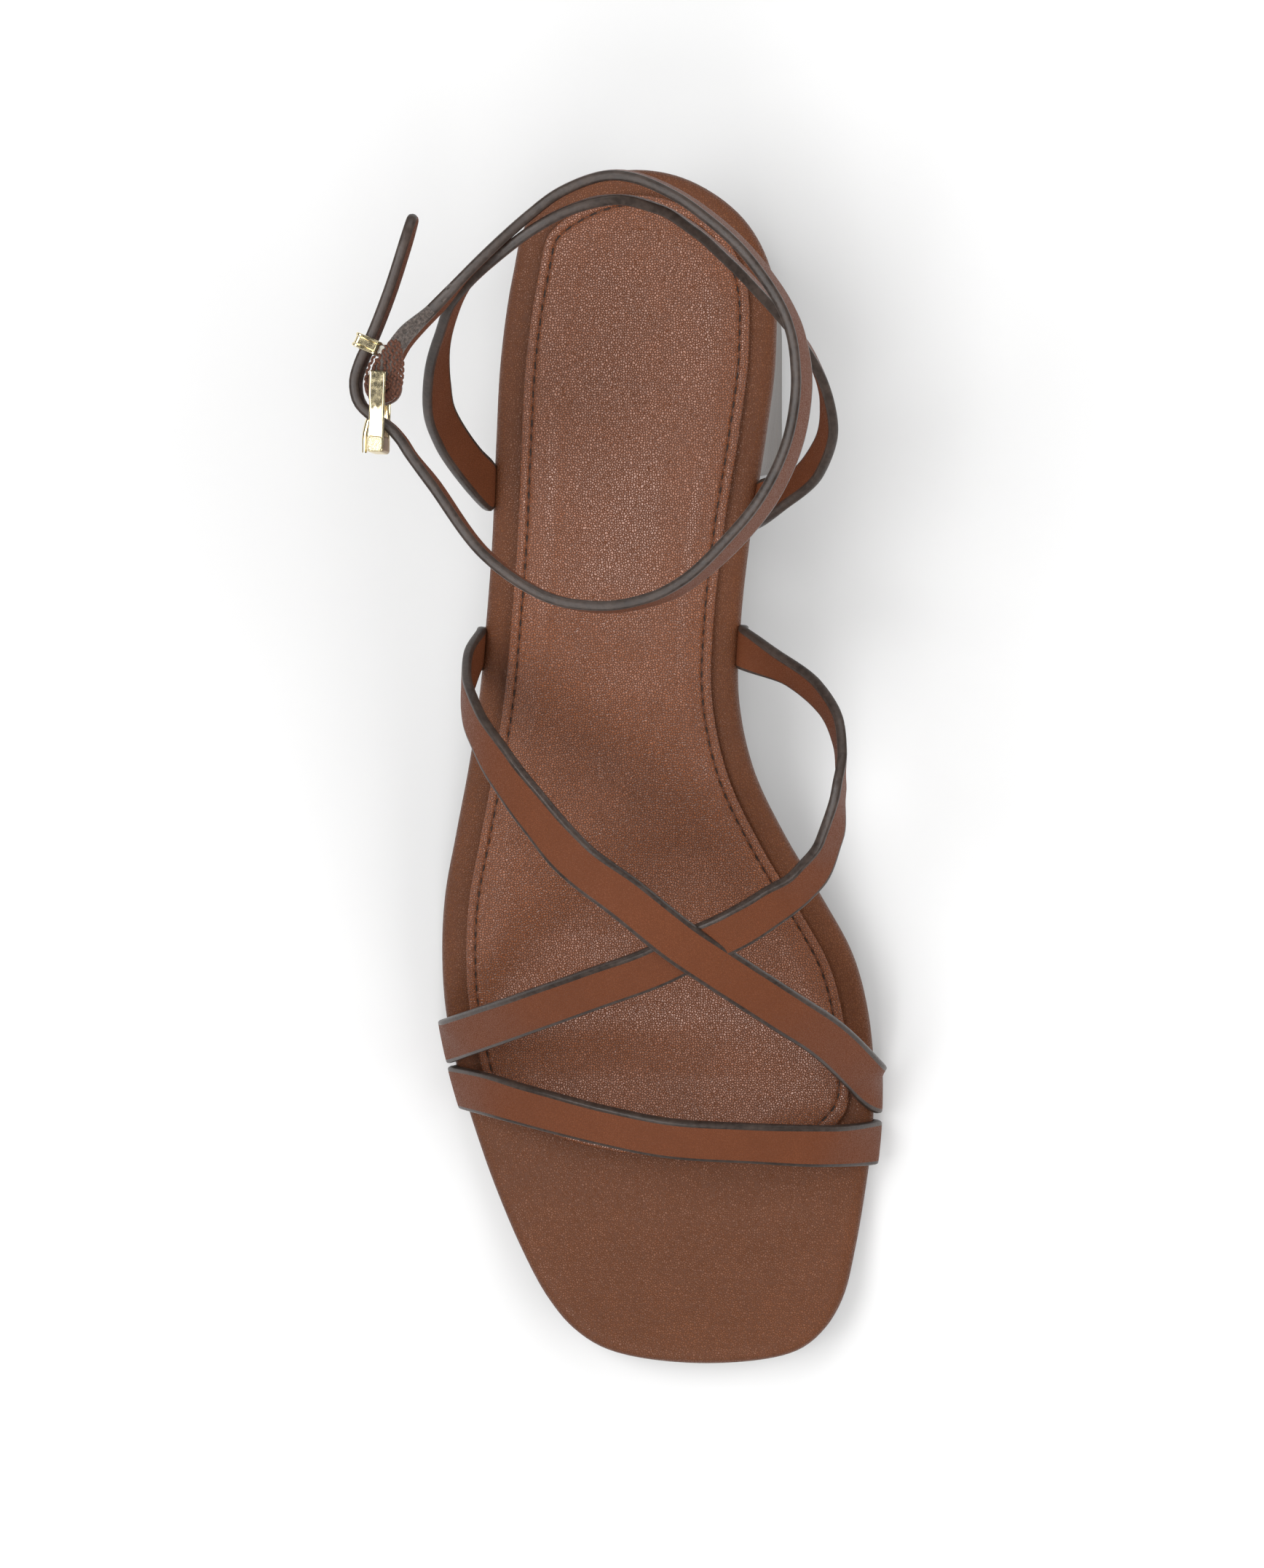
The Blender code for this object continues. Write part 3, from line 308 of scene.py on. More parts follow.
def colour_property(name, description, colour):
    return bpy.props.FloatVectorProperty(name=name, description=description, default=colour, size=3,
                                         min=0.0, max=1.0, subtype="COLOR")


class SandalColours(bpy.types.PropertyGroup):
    """Base colours of the materials"""
    sock: colour_property("Sock", "Grained leather of the sock", (0.195, 0.060, 0.022))
    cover: colour_property("Footbed cover", "Smooth leather round the footbed", (0.128, 0.042, 0.016))
    strap: colour_property("Strap faces", "Smooth leather of the straps", (0.132, 0.040, 0.016))
    paint: colour_property("Painted edges", "Edge paint of the straps", (0.038, 0.027, 0.022))
    raw: colour_property("Raw edge", "Fibres of the strap's folded end", (0.075, 0.060, 0.052))
    outsole: colour_property("Outsole", "Rubber of the outsole", (0.045, 0.028, 0.021))
    heel: colour_property("Heel", "Stacked heel", (0.078, 0.060, 0.048))
    top_piece: colour_property("Top piece", "Rubber under the heel", (0.020, 0.017, 0.015))
    gold: colour_property("Metal", "Polished metal of the buckle", (0.86, 0.74, 0.47))
    thread: colour_property("Thread", "Sewing thread of the sock", (0.085, 0.032, 0.018))
    # The needle holes' colour is painted shade, standing for the dark inside of a hole
    hole: colour_property("Needle holes", "Inside of a needle hole", (0.018, 0.009, 0.006))
    fold: colour_property("Fold thread", "Thread wound round the buckle's fold", (0.080, 0.026, 0.012))
    floor: colour_property("Floor", "Pale studio floor", (0.675, 0.675, 0.675))


class Socket:
    """An output of a material's node. Sums on it add Math nodes."""

    def __init__(self, tree, output=None):
        self.tree = tree
        self.output = output

    def node(self, kind, settings, inputs, output=0):
        """Adds a node: first its settings, then the values or links of its sockets."""
        made = self.tree.nodes.new("ShaderNode" + kind)
        for name, value in settings.items():
            setattr(made, name, value)
        for name, value in inputs.items():
            if isinstance(value, Socket):
                self.tree.links.new(value.output, made.inputs[name])
            else:
                made.inputs[name].default_value = value
        return Socket(self.tree, made.outputs[output])

    def maths(self, operation, first, second=0.0):
        return self.node("Math", {"operation": operation}, {0: first, 1: second})

    def __add__(self, other):
        return self.maths("ADD", self, other)

    def __radd__(self, other):
        return self.maths("ADD", other, self)

    def __sub__(self, other):
        return self.maths("SUBTRACT", self, other)

    def __rsub__(self, other):
        return self.maths("SUBTRACT", other, self)

    def __mul__(self, other):
        return self.maths("MULTIPLY", self, other)

    def __truediv__(self, other):
        return self.maths("DIVIDE", self, other)

    def between(self, low, high):
        """0 below low, 1 above high, and smooth from one to the other."""
        return self.node("MapRange", {"interpolation_type": "SMOOTHSTEP"},
                         {"Value": self, "From Min": low, "From Max": high})

    def mix(self, first, second):
        """Blend of two colours, with this socket as the second one's share."""
        return self.node("Mix", {"data_type": "RGBA"}, {0: self, 6: first, 7: second},
                         output=2)

    def clouds(self, scale, detail, roughness=0.5):
        """Noise over these coordinates."""
        return self.node("TexNoise", {}, {"Vector": self, "Scale": scale, "Detail": detail,
                                          "Roughness": roughness})

    def bump(self, strength, distance):
        """Normal of a surface with this height. distance is in metres."""
        return self.node("Bump", {}, {"Strength": strength, "Distance": distance, "Height": self})


def sizes():
    return bpy.context.scene.sandal_sizes


def colours():
    return bpy.context.scene.sandal_colours


def shade(colour, factor=1.0):
    """RGBA of a property's colour, lighter or darker."""
    return (*(clamped(part * factor) for part in colour), 1.0)


def start_material(name, colour):
    """An empty node material, with its shader and a first socket on the object's own coordinates."""
    made = bpy.data.materials.new(name)
    made.use_nodes = True
    made.diffuse_color = shade(colour)
    tree = made.node_tree
    shader = tree.nodes["Principled BSDF"]
    place = Socket(tree).node("TexCoord", {}, {}, output=3)
    return made, tree, shader, place


def connect(tree, shader, **links):
    """Sets or links the shader's sockets. A double underscore stands for a space."""
    for name, value in links.items():
        socket = shader.inputs[name.replace("__", " ")]
        if isinstance(value, Socket):
            tree.links.new(value.output, socket)
        else:
            socket.default_value = value


def leather(name, colour, pebble, depth, roughness, gloss, painted_shade_and_highlight, mottle=0.16, level=True):
    """Leather with a pebbled grain, whose valleys are painted darker as painted shade and whose pebble tops
    are painted lighter and pinker as a painted highlight. pebble is the grain's size and depth its height,
    in metres. gloss is how strongly it mirrors, the strength of the painted light how much darker the
    valleys and how much lighter the tops are painted, and mottle how uneven its colour is. level marks a
    leather that lies about flat."""
    made, tree, shader, place = start_material(name, colour)
    warp = place.node("TexNoise", {}, {"Vector": place, "Scale": 0.5 / pebble, "Detail": 1.0}, output=1)
    shift = place.node("VectorMath", {"operation": "SCALE"}, {0: warp, "Scale": 1.4 * pebble})
    bent = place.node("VectorMath", {"operation": "ADD"}, {0: place, 1: shift})
    plane = {"voronoi_dimensions": "2D"} if level else {}
    pattern = {"Vector": bent, "Scale": 1 / pebble, "Randomness": 0.85}
    cells = place.node("TexVoronoi", {**plane, "feature": "DISTANCE_TO_EDGE"}, pattern)
    tone = place.node("TexVoronoi", {**plane, "feature": "F1"}, pattern, output=1)
    cell_tone = place.node("SeparateColor", {}, {0: tone})
    dome = cells.between(0.0, 0.30)
    fine = place.clouds(2.4 / pebble, 3.0)
    broad = place.clouds(46.0, 4.0, 0.6)
    patch = place.clouds(220.0, 3.0)
    height = dome + fine * 0.2 + broad * 0.5 + cell_tone * 0.25
    tint = broad.between(0.30, 0.70) * 0.55 + patch.between(0.30, 0.70) * 0.45
    body = tint.mix(shade(colour, 1 - mottle), shade(colour, 1 + mottle))
    # Painted highlight: a lighter, pinker colour laid on the pebble tops, where they would catch the light
    painted_highlight_share = cells.between(0.08, 0.36) * (cell_tone * 0.6 + 0.4)
    painted_highlight_tint = (0.045, 0.034, 0.022)
    light = tuple(part * 1.35 + lift for part, lift in zip(colour, painted_highlight_tint))
    # The colour seen: painted shade in the valleys between the pebbles, and the painted highlight on their
    # tops over the mottled body
    seen = dome.mix(shade(colour, 1 - painted_shade_and_highlight), (painted_highlight_share * painted_shade_and_highlight).mix(body, shade(light)))
    rough = roughness + (broad - 0.5) * 0.16 + (fine - 0.5) * 0.10 + (1 - dome) * 0.30
    connect(tree, shader, Base__Color=seen, Roughness=rough, Normal=height.bump(1.0, depth), IOR=1.47,
            Specular__IOR__Level=gloss)
    return made


def edge_paint(colour):
    """Edge paint: brushed on, satin, with small ripples along the strap."""
    made, tree, shader, place = start_material("edge_paint", colour)
    ripple = place.clouds(900.0, 4.0, 0.65)
    patch = place.clouds(160.0, 3.0)
    tint = patch.between(0.3, 0.7) * 0.5 + ripple.between(0.35, 0.65) * 0.5
    seen = tint.mix(shade(colour, 0.60), shade(colour, 1.42))
    connect(tree, shader, Base__Color=seen, Roughness=0.36 + (ripple - 0.5) * 0.3,
            Normal=(ripple + patch * 0.6).bump(0.7, 0.00012), IOR=1.5, Specular__IOR__Level=0.35)
    return made


def raw_edge(colour):
    """Raw cut edge of a folded strap: fibres, neither dyed through nor painted."""
    made, tree, shader, place = start_material("raw_edge", colour)
    fibres = place.clouds(1900.0, 5.0, 0.75)
    tufts = place.node("TexVoronoi", {"feature": "F1"}, {"Vector": place, "Scale": 2600.0})
    seen = (fibres.between(0.38, 0.66) * 0.7 + tufts * 0.3).mix(shade(colour, 0.35), shade(colour, 2.0))
    connect(tree, shader, Base__Color=seen, Roughness=0.85,
            Normal=(fibres + tufts * 0.5).bump(1.0, 0.00035), Specular__IOR__Level=0.2,
            Sheen__Weight=0.3, Sheen__Roughness=0.5)
    return made


def stacked_leather(colour, layer):
    """Stacked heel: layers with fine lines between them, streaked along each layer."""
    made, tree, shader, place = start_material("stacked_heel_finish", colour)
    up = place.node("SeparateXYZ", {}, {0: place}, output=2)
    wobble = place.clouds(35.0, 2.0)
    level = up / layer + wobble * 0.25
    share = place.maths("FRACT", level)
    line = share.between(0.0, 0.07) * (1 - share.between(0.93, 1.0))
    number = place.node("CombineXYZ", {}, {"Z": place.maths("FLOOR", level)})
    layer_tone = place.node("TexWhiteNoise", {"noise_dimensions": "3D"}, {"Vector": number})
    squeezed = place.node("VectorMath", {"operation": "MULTIPLY"}, {0: place, 1: (60.0, 60.0, 2600.0)})
    streak = squeezed.clouds(1.0, 5.0, 0.7)
    tint = layer_tone * 0.5 + streak.between(0.3, 0.7) * 0.5
    body = tint.mix(shade(colour, 0.70), shade(colour, 1.35))
    seen = (line * 0.65 + 0.35).mix(shade(colour, 0.30), body)
    connect(tree, shader, Base__Color=seen, Roughness=0.34 + (streak - 0.5) * 0.25,
            Normal=(line * 0.8 + streak * 0.5).bump(0.8, 0.00012), IOR=1.5)
    return made


def rubber(name, colour, rib):
    """Moulded rubber with a fine cross-hatched grip."""
    made, tree, shader, place = start_material(name, colour)
    ribs = place.node("TexVoronoi", {"feature": "F1", "distance": "MANHATTAN"},
                      {"Vector": place, "Scale": 1 / rib, "Randomness": 0.0})
    speck = place.clouds(1400.0, 4.0)
    seen = speck.between(0.3, 0.7).mix(shade(colour, 0.8), shade(colour, 1.25))
    connect(tree, shader, Base__Color=seen, Roughness=0.58 + (speck - 0.5) * 0.3,
            Normal=(ribs.between(0.1, 0.5) + speck * 0.4).bump(0.6, 0.0002))
    return made


def polished_metal(name, colour, dust, depth, roughness):
    """Plated metal: bright, faintly rippled. dust is the size of its specks and depth their height."""
    made, tree, shader, place = start_material(name, colour)
    ripple = place.clouds(260.0, 2.0)
    specks = place.node("TexVoronoi", {"feature": "F1"}, {"Vector": place, "Scale": 1 / dust})
    seen = ripple.between(0.3, 0.7).mix(shade(colour, 0.93), shade(colour, 1.06))
    connect(tree, shader, Base__Color=seen, Roughness=roughness + specks * 0.10, Metallic=1.0,
            Normal=(specks + ripple * 0.6).bump(1.0, depth))
    return made


def thread(name, colour, twist):
    """Twisted thread. twist is the length of one turn of its strands."""
    made, tree, shader, place = start_material(name, colour)
    strand = place.node("TexWave", {"bands_direction": "DIAGONAL"},
                        {"Vector": place, "Scale": 0.5 / twist, "Distortion": 2.0, "Detail": 2.0})
    fuzz = place.clouds(5000.0, 3.0)
    seen = (strand * 0.6 + fuzz * 0.4).mix(shade(colour, 0.55), shade(colour, 1.45))
    connect(tree, shader, Base__Color=seen, Roughness=0.72 + (fuzz - 0.5) * 0.2,
            Normal=(strand + fuzz * 0.5).bump(0.9, 0.00006), Sheen__Weight=0.25, Sheen__Roughness=0.4)
    return made


def painted_hole_shade(name, colour):
    """Painted shade of a needle hole: a dark sheet standing for the shade inside the hole, with a little
    dust.
    """
    made, tree, shader, place = start_material(name, colour)
    speck = place.clouds(3000.0, 2.0)
    seen = speck.between(0.3, 0.7).mix(shade(colour, 0.6), shade(colour, 1.5))
    connect(tree, shader, Base__Color=seen, Roughness=0.8)
    return made


def matte_paper(name, colour):
    """Studio floor: matte, all but even."""
    made, tree, shader, place = start_material(name, colour)
    seen = place.clouds(3.0, 2.0).between(0.2, 0.8).mix(shade(colour, 0.995), shade(colour, 1.0))
    connect(tree, shader, Base__Color=seen, Roughness=0.9, Specular__IOR__Level=0.1)
    return made


def clamped(value, low=0.0, high=1.0):
    return min(max(value, low), high)


def eased(share):
    """A share that starts and ends gently."""
    return share * share * (3 - 2 * share)


def run_at(points, index):
    """Direction of a line at one of its points."""
    return (points[min(index + 1, len(points) - 1)] - points[max(index - 1, 0)]).normalized()


def between(rows, column, along):
    """Value of a column at a place along the foot, on a curve that never overshoots its rows."""
    places = [row.along for row in rows]
    values = [getattr(row, column) for row in rows]
    along = clamped(along, places[0], places[-1])
    index = max(i for i in range(len(rows) - 1) if places[i] <= along)
    steps = [(values[i + 1] - values[i]) / (places[i + 1] - places[i]) for i in range(len(rows) - 1)]

    def slope(i):
        if i == 0 or i == len(rows) - 1:
            return steps[min(i, len(steps) - 1)]
        before, after = steps[i - 1], steps[i]
        return 0.0 if before * after <= 0.0 else 2.0 * before * after / (before + after)

    width = places[index + 1] - places[index]
    t = (along - places[index]) / width
    return ((2 * t**3 - 3 * t**2 + 1) * values[index] + (t**3 - 2 * t**2 + t) * width * slope(index)
            + (3 * t**2 - 2 * t**3) * values[index + 1] + (t**3 - t**2) * width * slope(index + 1))


def sole_height(along):
    """Height of the outsole's underside over the floor."""
    return (HEEL_RISE * between(HEEL_PROFILE, "rise", along)
            + TOE_SPRING * between(TOE_PROFILE, "rise", along))


def profile_slope(along):
    """How steeply the side profile climbs towards the heel."""
    climb = sole_height(max(along - SLOPE_REACH, 0.0)) - sole_height(min(along + SLOPE_REACH, 1.0))
    return climb / (2 * SLOPE_REACH * LENGTH)


def layer_height(along, lift):
    """Height of a layer that lies lift above the outsole's underside, square to it."""
    return sole_height(along) + lift * math.hypot(1.0, profile_slope(along))


def plan(along, across):
    return Vector((BALL_WIDTH * across, BACK - LENGTH * along))


def along_of(point):
    return clamped((BACK - point.y) / LENGTH)


def on_layer(point, lift):
    """A plan point, raised to a layer."""
    return Vector((point.x, point.y, layer_height(along_of(point), lift)))


def curve_point(points, index, t, closed):
    """Point of a smooth curve between two of its points, spaced by their distances."""
    count = len(points)

    def pick(i):
        if closed:
            return points[i % count]
        if i < 0:
            return points[0] * 2 - points[1]
        return points[i] if i < count else points[-1] * 2 - points[-2]

    level = [pick(index + i) for i in (-1, 0, 1, 2)]
    knots = [0.0]
    for first, second in zip(level, level[1:]):
        knots.append(knots[-1] + max((second - first).length, 1e-9) ** 0.5)
    place = knots[1] + t * (knots[2] - knots[1])
    for span, lows in ((1, (0, 1, 2)), (2, (0, 1)), (1, (1,))):
        mixed = []
        for i, low in enumerate(lows):
            share = (place - knots[low]) / (knots[low + span] - knots[low])
            mixed.append(level[i] * (1 - share) + level[i + 1] * share)
        level = mixed
    return level[0]


def smooth_path(points, step):
    """Points spaced by about one step on a smooth open curve."""
    path = []
    for index in range(len(points) - 1):
        count = max(1, math.ceil((points[index + 1] - points[index]).length / step))
        path += [curve_point(points, index, part / count, False) for part in range(count)]
    return path + [points[-1]]


def fine_side(side):
    """Closely spaced points of the outline's one side, from the heel's back to the toe's tip."""
    around = [plan(row.along, row.lateral) for row in OUTLINE]
    around += [plan(row.along, row.medial) for row in reversed(OUTLINE[1:-1])]
    steps = 12
    last = len(OUTLINE) - 1
    spans = range(last) if side == "lateral" else range(len(around) - 1, last - 1, -1)
    fine = []
    for index in spans:
        shares = [i / steps for i in range(steps)]
        if side == "medial":
            shares = [1 - share for share in shares]
        fine += [curve_point(around, index, share, True) for share in shares]
    fine.append(around[last].copy())
    return fine


FINE_SIDES = {side: fine_side(side) for side in ("lateral", "medial")}


def outward_at(fine, index, side):
    """Outward direction of the outline, square to its run."""
    if index in (0, len(fine) - 1):
        return Vector((0.0, 1.0 if index == 0 else -1.0))
    run = run_at(fine, index)
    return Vector((run.y, -run.x)) if side == "lateral" else Vector((-run.y, run.x))


def lengths_along(points):
    """Length run at each point of a line."""
    lengths = [0.0]
    for first, second in zip(points, points[1:]):
        lengths.append(lengths[-1] + (second - first).length)
    return lengths


def spaced(points, count, trim=0.0):
    """count + 1 evenly spaced points of a line, less a length at its end."""
    lengths = lengths_along(points)
    made = []
    index = 0
    for step in range(count + 1):
        goal = (lengths[-1] - trim) * step / count
        while index < len(points) - 2 and lengths[index + 1] < goal:
            index += 1
        share = (goal - lengths[index]) / (lengths[index + 1] - lengths[index])
        made.append(points[index].lerp(points[index + 1], share))
    return made


def side_points(side, inset, count, until=1.0):
    """count + 1 evenly spaced points of one side, moved in from the outline."""
    fine = FINE_SIDES[side]
    moved = [point - outward_at(fine, i, side) * inset for i, point in enumerate(fine)]
    limit = BACK - LENGTH * until
    kept = [point for point in moved if point.y >= limit - 1e-9]
    if until < 1.0:
        after = moved[len(kept)]
        share = (kept[-1].y - limit) / (kept[-1].y - after.y)
        kept.append(kept[-1].lerp(after, share))
    return spaced(kept, count)


def rim_point(side, along):
    """Point of the outline at a place along the foot, with its outward direction."""
    fine = FINE_SIDES[side]
    goal = BACK - LENGTH * along
    index = next(i for i, point in enumerate(fine) if point.y <= goal)
    share = (fine[index - 1].y - goal) / (fine[index - 1].y - fine[index].y)
    return fine[index - 1].lerp(fine[index], share), outward_at(fine, index, side)


def outline_ring(inset):
    """The whole outline, moved in: heel's back, lateral side, toe, medial side."""
    half = OUTLINE_POINTS // 2
    lateral = side_points("lateral", inset, half)
    medial = side_points("medial", inset, half)
    return lateral + medial[-2:0:-1]


def sock_ring(inset):
    """The sock's outline, moved in, closed by a round front under the toe strap."""
    nose_points = OUTLINE_POINTS // 3
    # How far the lateral side stops short, as a share of LENGTH, and how the round front's leads run on
    lateral_behind, lead, bulge = 0.018, 0.010, 0.1155 * BALL_WIDTH
    until = SOCK_FRONT - inset / LENGTH
    lateral = side_points("lateral", SOCK_MARGIN + inset, OUTLINE_POINTS, until - lateral_behind)
    medial = side_points("medial", SOCK_MARGIN + inset, OUTLINE_POINTS, until)
    leads = [side[-1] + (side[-1] - side[-2]).normalized() * lead + Vector((0.0, -bulge))
             for side in (lateral, medial)]
    corners = [lateral[-1], *leads, medial[-1]]
    nose = []
    for step in range(1, nose_points):
        t = step / nose_points
        weights = ((1 - t)**3, 3 * t * (1 - t)**2, 3 * t**2 * (1 - t), t**3)
        nose.append(sum((corner * weight for corner, weight in zip(corners, weights)), Vector((0.0, 0.0))))
    return lateral + nose + medial[-1:0:-1]


def loft(mesh, rings):
    """Walls between rings of equally many points, and the two end faces left open."""
    made = [[mesh.verts.new(point) for point in ring] for ring in rings]
    for low, high in zip(made, made[1:]):
        for i in range(len(low)):
            j = (i + 1) % len(low)
            mesh.faces.new((low[i], low[j], high[j], high[i]))
    return made


def closed_loft(mesh, rings, finish=0):
    """A loft whose ends are closed by faces of one material."""
    made = loft(mesh, rings)
    for ring in (made[0], made[-1]):
        mesh.faces.new(ring).material_index = finish


def spokes(first, second, sides):
    """Directions all the way round, from the first towards the second."""
    return [first * math.cos(math.tau * i / sides) + second * math.sin(math.tau * i / sides)
            for i in range(sides)]


def fill_across(mesh, ring, columns, place):
    """Closes a ring with a grid from side to side. place gives a new point from its plan, and its shares of
    the way across and along."""
    count = len(ring)
    rows = []
    for i in range(1, count // 2):
        first, second = ring[i], ring[count - i]
        row = [first]
        for column in range(1, columns):
            across = column / columns
            spot = first.co.lerp(second.co, across)
            row.append(mesh.verts.new(place(spot, across, i / (count // 2))))
        rows.append(row + [second])
    for before, after in zip(rows, rows[1:]):
        for i in range(columns):
            mesh.faces.new((before[i], before[i + 1], after[i + 1], after[i]))
    for tip, row in ((ring[0], rows[0]), (ring[count // 2], rows[-1])):
        for i in range(columns):
            mesh.faces.new((tip, row[i], row[i + 1]))


def piece(name, mesh, materials, replaced=(), sharp=40.0):
    """Puts a finished bmesh on the sandal, in place of the CAD nodes that it replaces."""
    mesh.normal_update()
    bmesh.ops.recalc_face_normals(mesh, faces=mesh.faces)
    data = bpy.data.meshes.new(name)
    mesh.to_mesh(data)
    mesh.free()
    for material in materials:
        data.materials.append(material)
    data.shade_smooth()
    data.set_sharp_from_angle(angle=math.radians(sharp))
    made = bpy.data.objects.new(name, data)
    bpy.context.scene.collection.objects.link(made)
    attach(made, "root")
    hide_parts(*replaced)
    return made


def sole_layer(sections, floor, ring_at, columns, top=None, dent=None):
    """A sole layer as a bmesh. top gives how far a point rises over the last ring, from its plan and its
    shares across and along, and dent how deep a ring's points lie under their section."""
    mesh = bmesh.new()
    rings = []
    for inset, lift in sections:
        ring = ring_at(inset)
        dents = dent(ring, inset) if dent else [0.0] * len(ring)
        rings.append([on_layer(point, floor + lift - deep) for point, deep in zip(ring, dents)])
    made = loft(mesh, rings)
    for ring, lift, rise in ((made[0], sections[0].lift, None), (made[-1], sections[-1].lift, top)):
        fill_across(mesh, ring, columns, lambda point, across, along: on_layer(
            point, floor + lift + (rise(point, across, along) if rise else 0.0)))
    return mesh


def sock_dip(point, across, along):
    """How far the padded sock sinks and ripples away from its edge."""
    heel_fade, toe_fade = 0.12, 0.10
    ends = min(1.0, along / heel_fade, (1 - along) / toe_fade)
    inner = math.sin(math.pi * across) ** 0.8 * math.sin(math.pi * ends / 2)
    ripple = noise.noise(Vector((point.x * 75, point.y * 55, 3.7)))
    ripple += 0.5 * noise.noise(Vector((point.x * 160, point.y * 130, 9.1)))
    rippled = min(1.0, 4 * across, 4 - 4 * across) * ends
    return -sizes().sock_dish * inner + sizes().sock_ripple * ripple * rippled


def stitch(mesh, start, end, normal, radius, sag, sides=8, steps=6):
    """A thread from hole to hole that dips in at both ends."""
    across = (end - start).normalized().cross(normal).normalized()
    rings = []
    for step in range(steps + 1):
        share = step / steps
        swell = math.sin(math.pi * clamped(share, 0.04, 0.96)) ** 0.35
        rise = radius * 0.35 - sag * (1 - math.sin(math.pi * share) ** 0.5)
        centre = start.lerp(end, share) + normal * rise
        rings.append([centre + spoke * radius * swell for spoke in spokes(across, normal, sides)])
    closed_loft(mesh, rings)


def stitch_count(ring):
    return round(lengths_along(ring + ring[:1])[-1] / sizes().stitch_pitch)


def seam_dents(ring, inset):
    """How much each stitch pulls the sock down round its needle holes."""
    share = max(0.0, 1 - abs(inset - SEAM.inset) / SEAM_REACH)
    lengths = lengths_along(ring + ring[:1])
    count = stitch_count(ring)
    return [share * sizes().stitch_pull * (0.5 + 0.5 * math.cos(math.tau * count * length / lengths[-1]))
            for length in lengths[:-1]]


def seam_points():
    """Needle holes of the sock's seam, at an even pitch round it, each a little off its line."""
    ring = sock_ring(SEAM.inset)
    count = stitch_count(ring)
    holes = spaced(ring + ring[:1], count)[:-1]
    made = []
    for number, hole in enumerate(holes):
        run = (holes[(number + 1) % count] - holes[number - 1]).normalized()
        stray = sizes().hole_stray * noise.noise(Vector((number * 7.3, 2.1, 0.0)))
        made.append(on_layer(hole + Vector((-run.y, run.x)) * stray, SOCK_FLOOR + SEAM.lift))
    return made


def raise_point(spot, rise_height):
    """World place of a route's row, over the footbed."""
    point = plan(spot.along, spot.across)
    return Vector((point.x, point.y, sole_height(spot.along) + BED_TOP + spot.rise * rise_height))


def anchor_stations(anchor, thickness):
    """Stations that carry a strap up out of the slit under the footbed and over its rim."""
    out = thickness / 2 - STRAP_INLAY
    low = thickness / 2 + SLIT_ROOM
    places = [(-STRAP_TUCK, low), (-STRAP_TUCK / 2, low),
              (out - 0.6 * thickness, low), (out - 0.1 * thickness, low + 0.3 * thickness),
              (out, BED_THICKNESS * 0.60), (out, BED_THICKNESS * 0.95)]
    turn = 1 if anchor.side == "medial" else -1
    stations = []
    for outset, lift in places:
        along = anchor.along + (BED_THICKNESS - lift) * anchor.slant / LENGTH
        rim, outward = rim_point(anchor.side, along)
        spot = rim + outward * outset
        middle = on_layer(spot, BED_FLOOR + lift)
        rim_run = Vector((-outward.y, outward.x)) * turn
        edge = Vector((rim_run.x, rim_run.y, profile_slope(along_of(spot)) * rim_run.y)).normalized()
        stations.append(Station(middle, edge, thickness))
    return stations


def leaning(middles, index, lean, thickness):
    """Station whose edge leans from upright towards the right of the way that the strap runs."""
    run = run_at(middles, index)
    right = run.cross(UP).normalized()
    angle = math.radians(lean)
    edge = UP * math.cos(angle) + right * math.sin(angle)
    edge = (edge - run * edge.dot(run)).normalized()
    return Station(middles[index], edge, thickness)


def facing(stations, like):
    """Stations whose edges lie the same way round as the next one's."""
    if stations[0].edge.dot(like.edge) > 0:
        return stations
    return [station._replace(edge=-station.edge) for station in stations]


def route_stations(route, rise_height, thickness=STRAP_THICKNESS):
    """Stations of a strap whose ends are both anchored in the sole."""
    start = anchor_stations(route[0], thickness)
    end = anchor_stations(route[-1], thickness)[::-1]
    free = [raise_point(row, rise_height) for row in route[1:-1]]
    middles = [start[-1].middle] + free + [end[0].middle]
    rows = [leaning(middles, i + 1, row.lean, thickness) for i, row in enumerate(route[1:-1])]
    return facing(start, rows[0]) + rows + facing(end, rows[-1])


def dense(stations, step):
    """Stations spaced by about one step on smooth curves through the given ones."""
    middles = [station.middle for station in stations]
    edges = [station.edge for station in stations]
    made = []
    for index in range(len(stations) - 1):
        length = (middles[index + 1] - middles[index]).length
        count = max(1, math.ceil(length / step))
        for part in range(count):
            t = part / count
            ease = eased(t)
            thickness = stations[index].thickness * (1 - ease) + stations[index + 1].thickness * ease
            made.append(Station(curve_point(middles, index, t, False),
                                edges[index].lerp(edges[index + 1], ease).normalized(), thickness))
    made.append(stations[-1])
    return made


def strap_section(width, thickness):
    """Section of a strap: faces a little crowned and edges domed, with a groove where it is double.
    Gives each point with whether the strip after it is painted."""
    half, through = width / 2, thickness / 2
    dome = min(sizes().edge_dome, 0.4 * half)
    flat = half - dome
    doubled = clamped((thickness / STRAP_THICKNESS - GROOVE_FROM) / 0.6)
    groove_depth, groove_reach = 0.0004 * doubled, 0.16

    def face(side):
        points = [(place * flat * side, side * through * (1 - (1 - DOME_HEIGHT) * place**4))
                  for place in FACE_PLACES]
        return [(point, i in (0, len(points) - 2, len(points) - 1)) for i, point in enumerate(points)]

    def edge(side):
        points = []
        for step in range(1, DOME_STEPS):
            angle = math.pi * (0.5 - step / DOME_STEPS)
            swell = math.cos(angle) ** 0.75
            rise = math.copysign(abs(math.sin(angle)) ** 0.85, angle) * DOME_HEIGHT
            groove = groove_depth * math.exp(-(rise / groove_reach) ** 2)
            points.append(((flat + dome * swell - groove) * side, through * rise * side))
        return [(point, True) for point in points]

    return face(1) + edge(1) + face(-1) + edge(-1)


def quarter_round(share):
    """Height of a quarter circle: 0 at its foot, and 1 from a share of 1 on."""
    return math.sqrt(1 - (1 - min(share, 1.0)) ** 2)


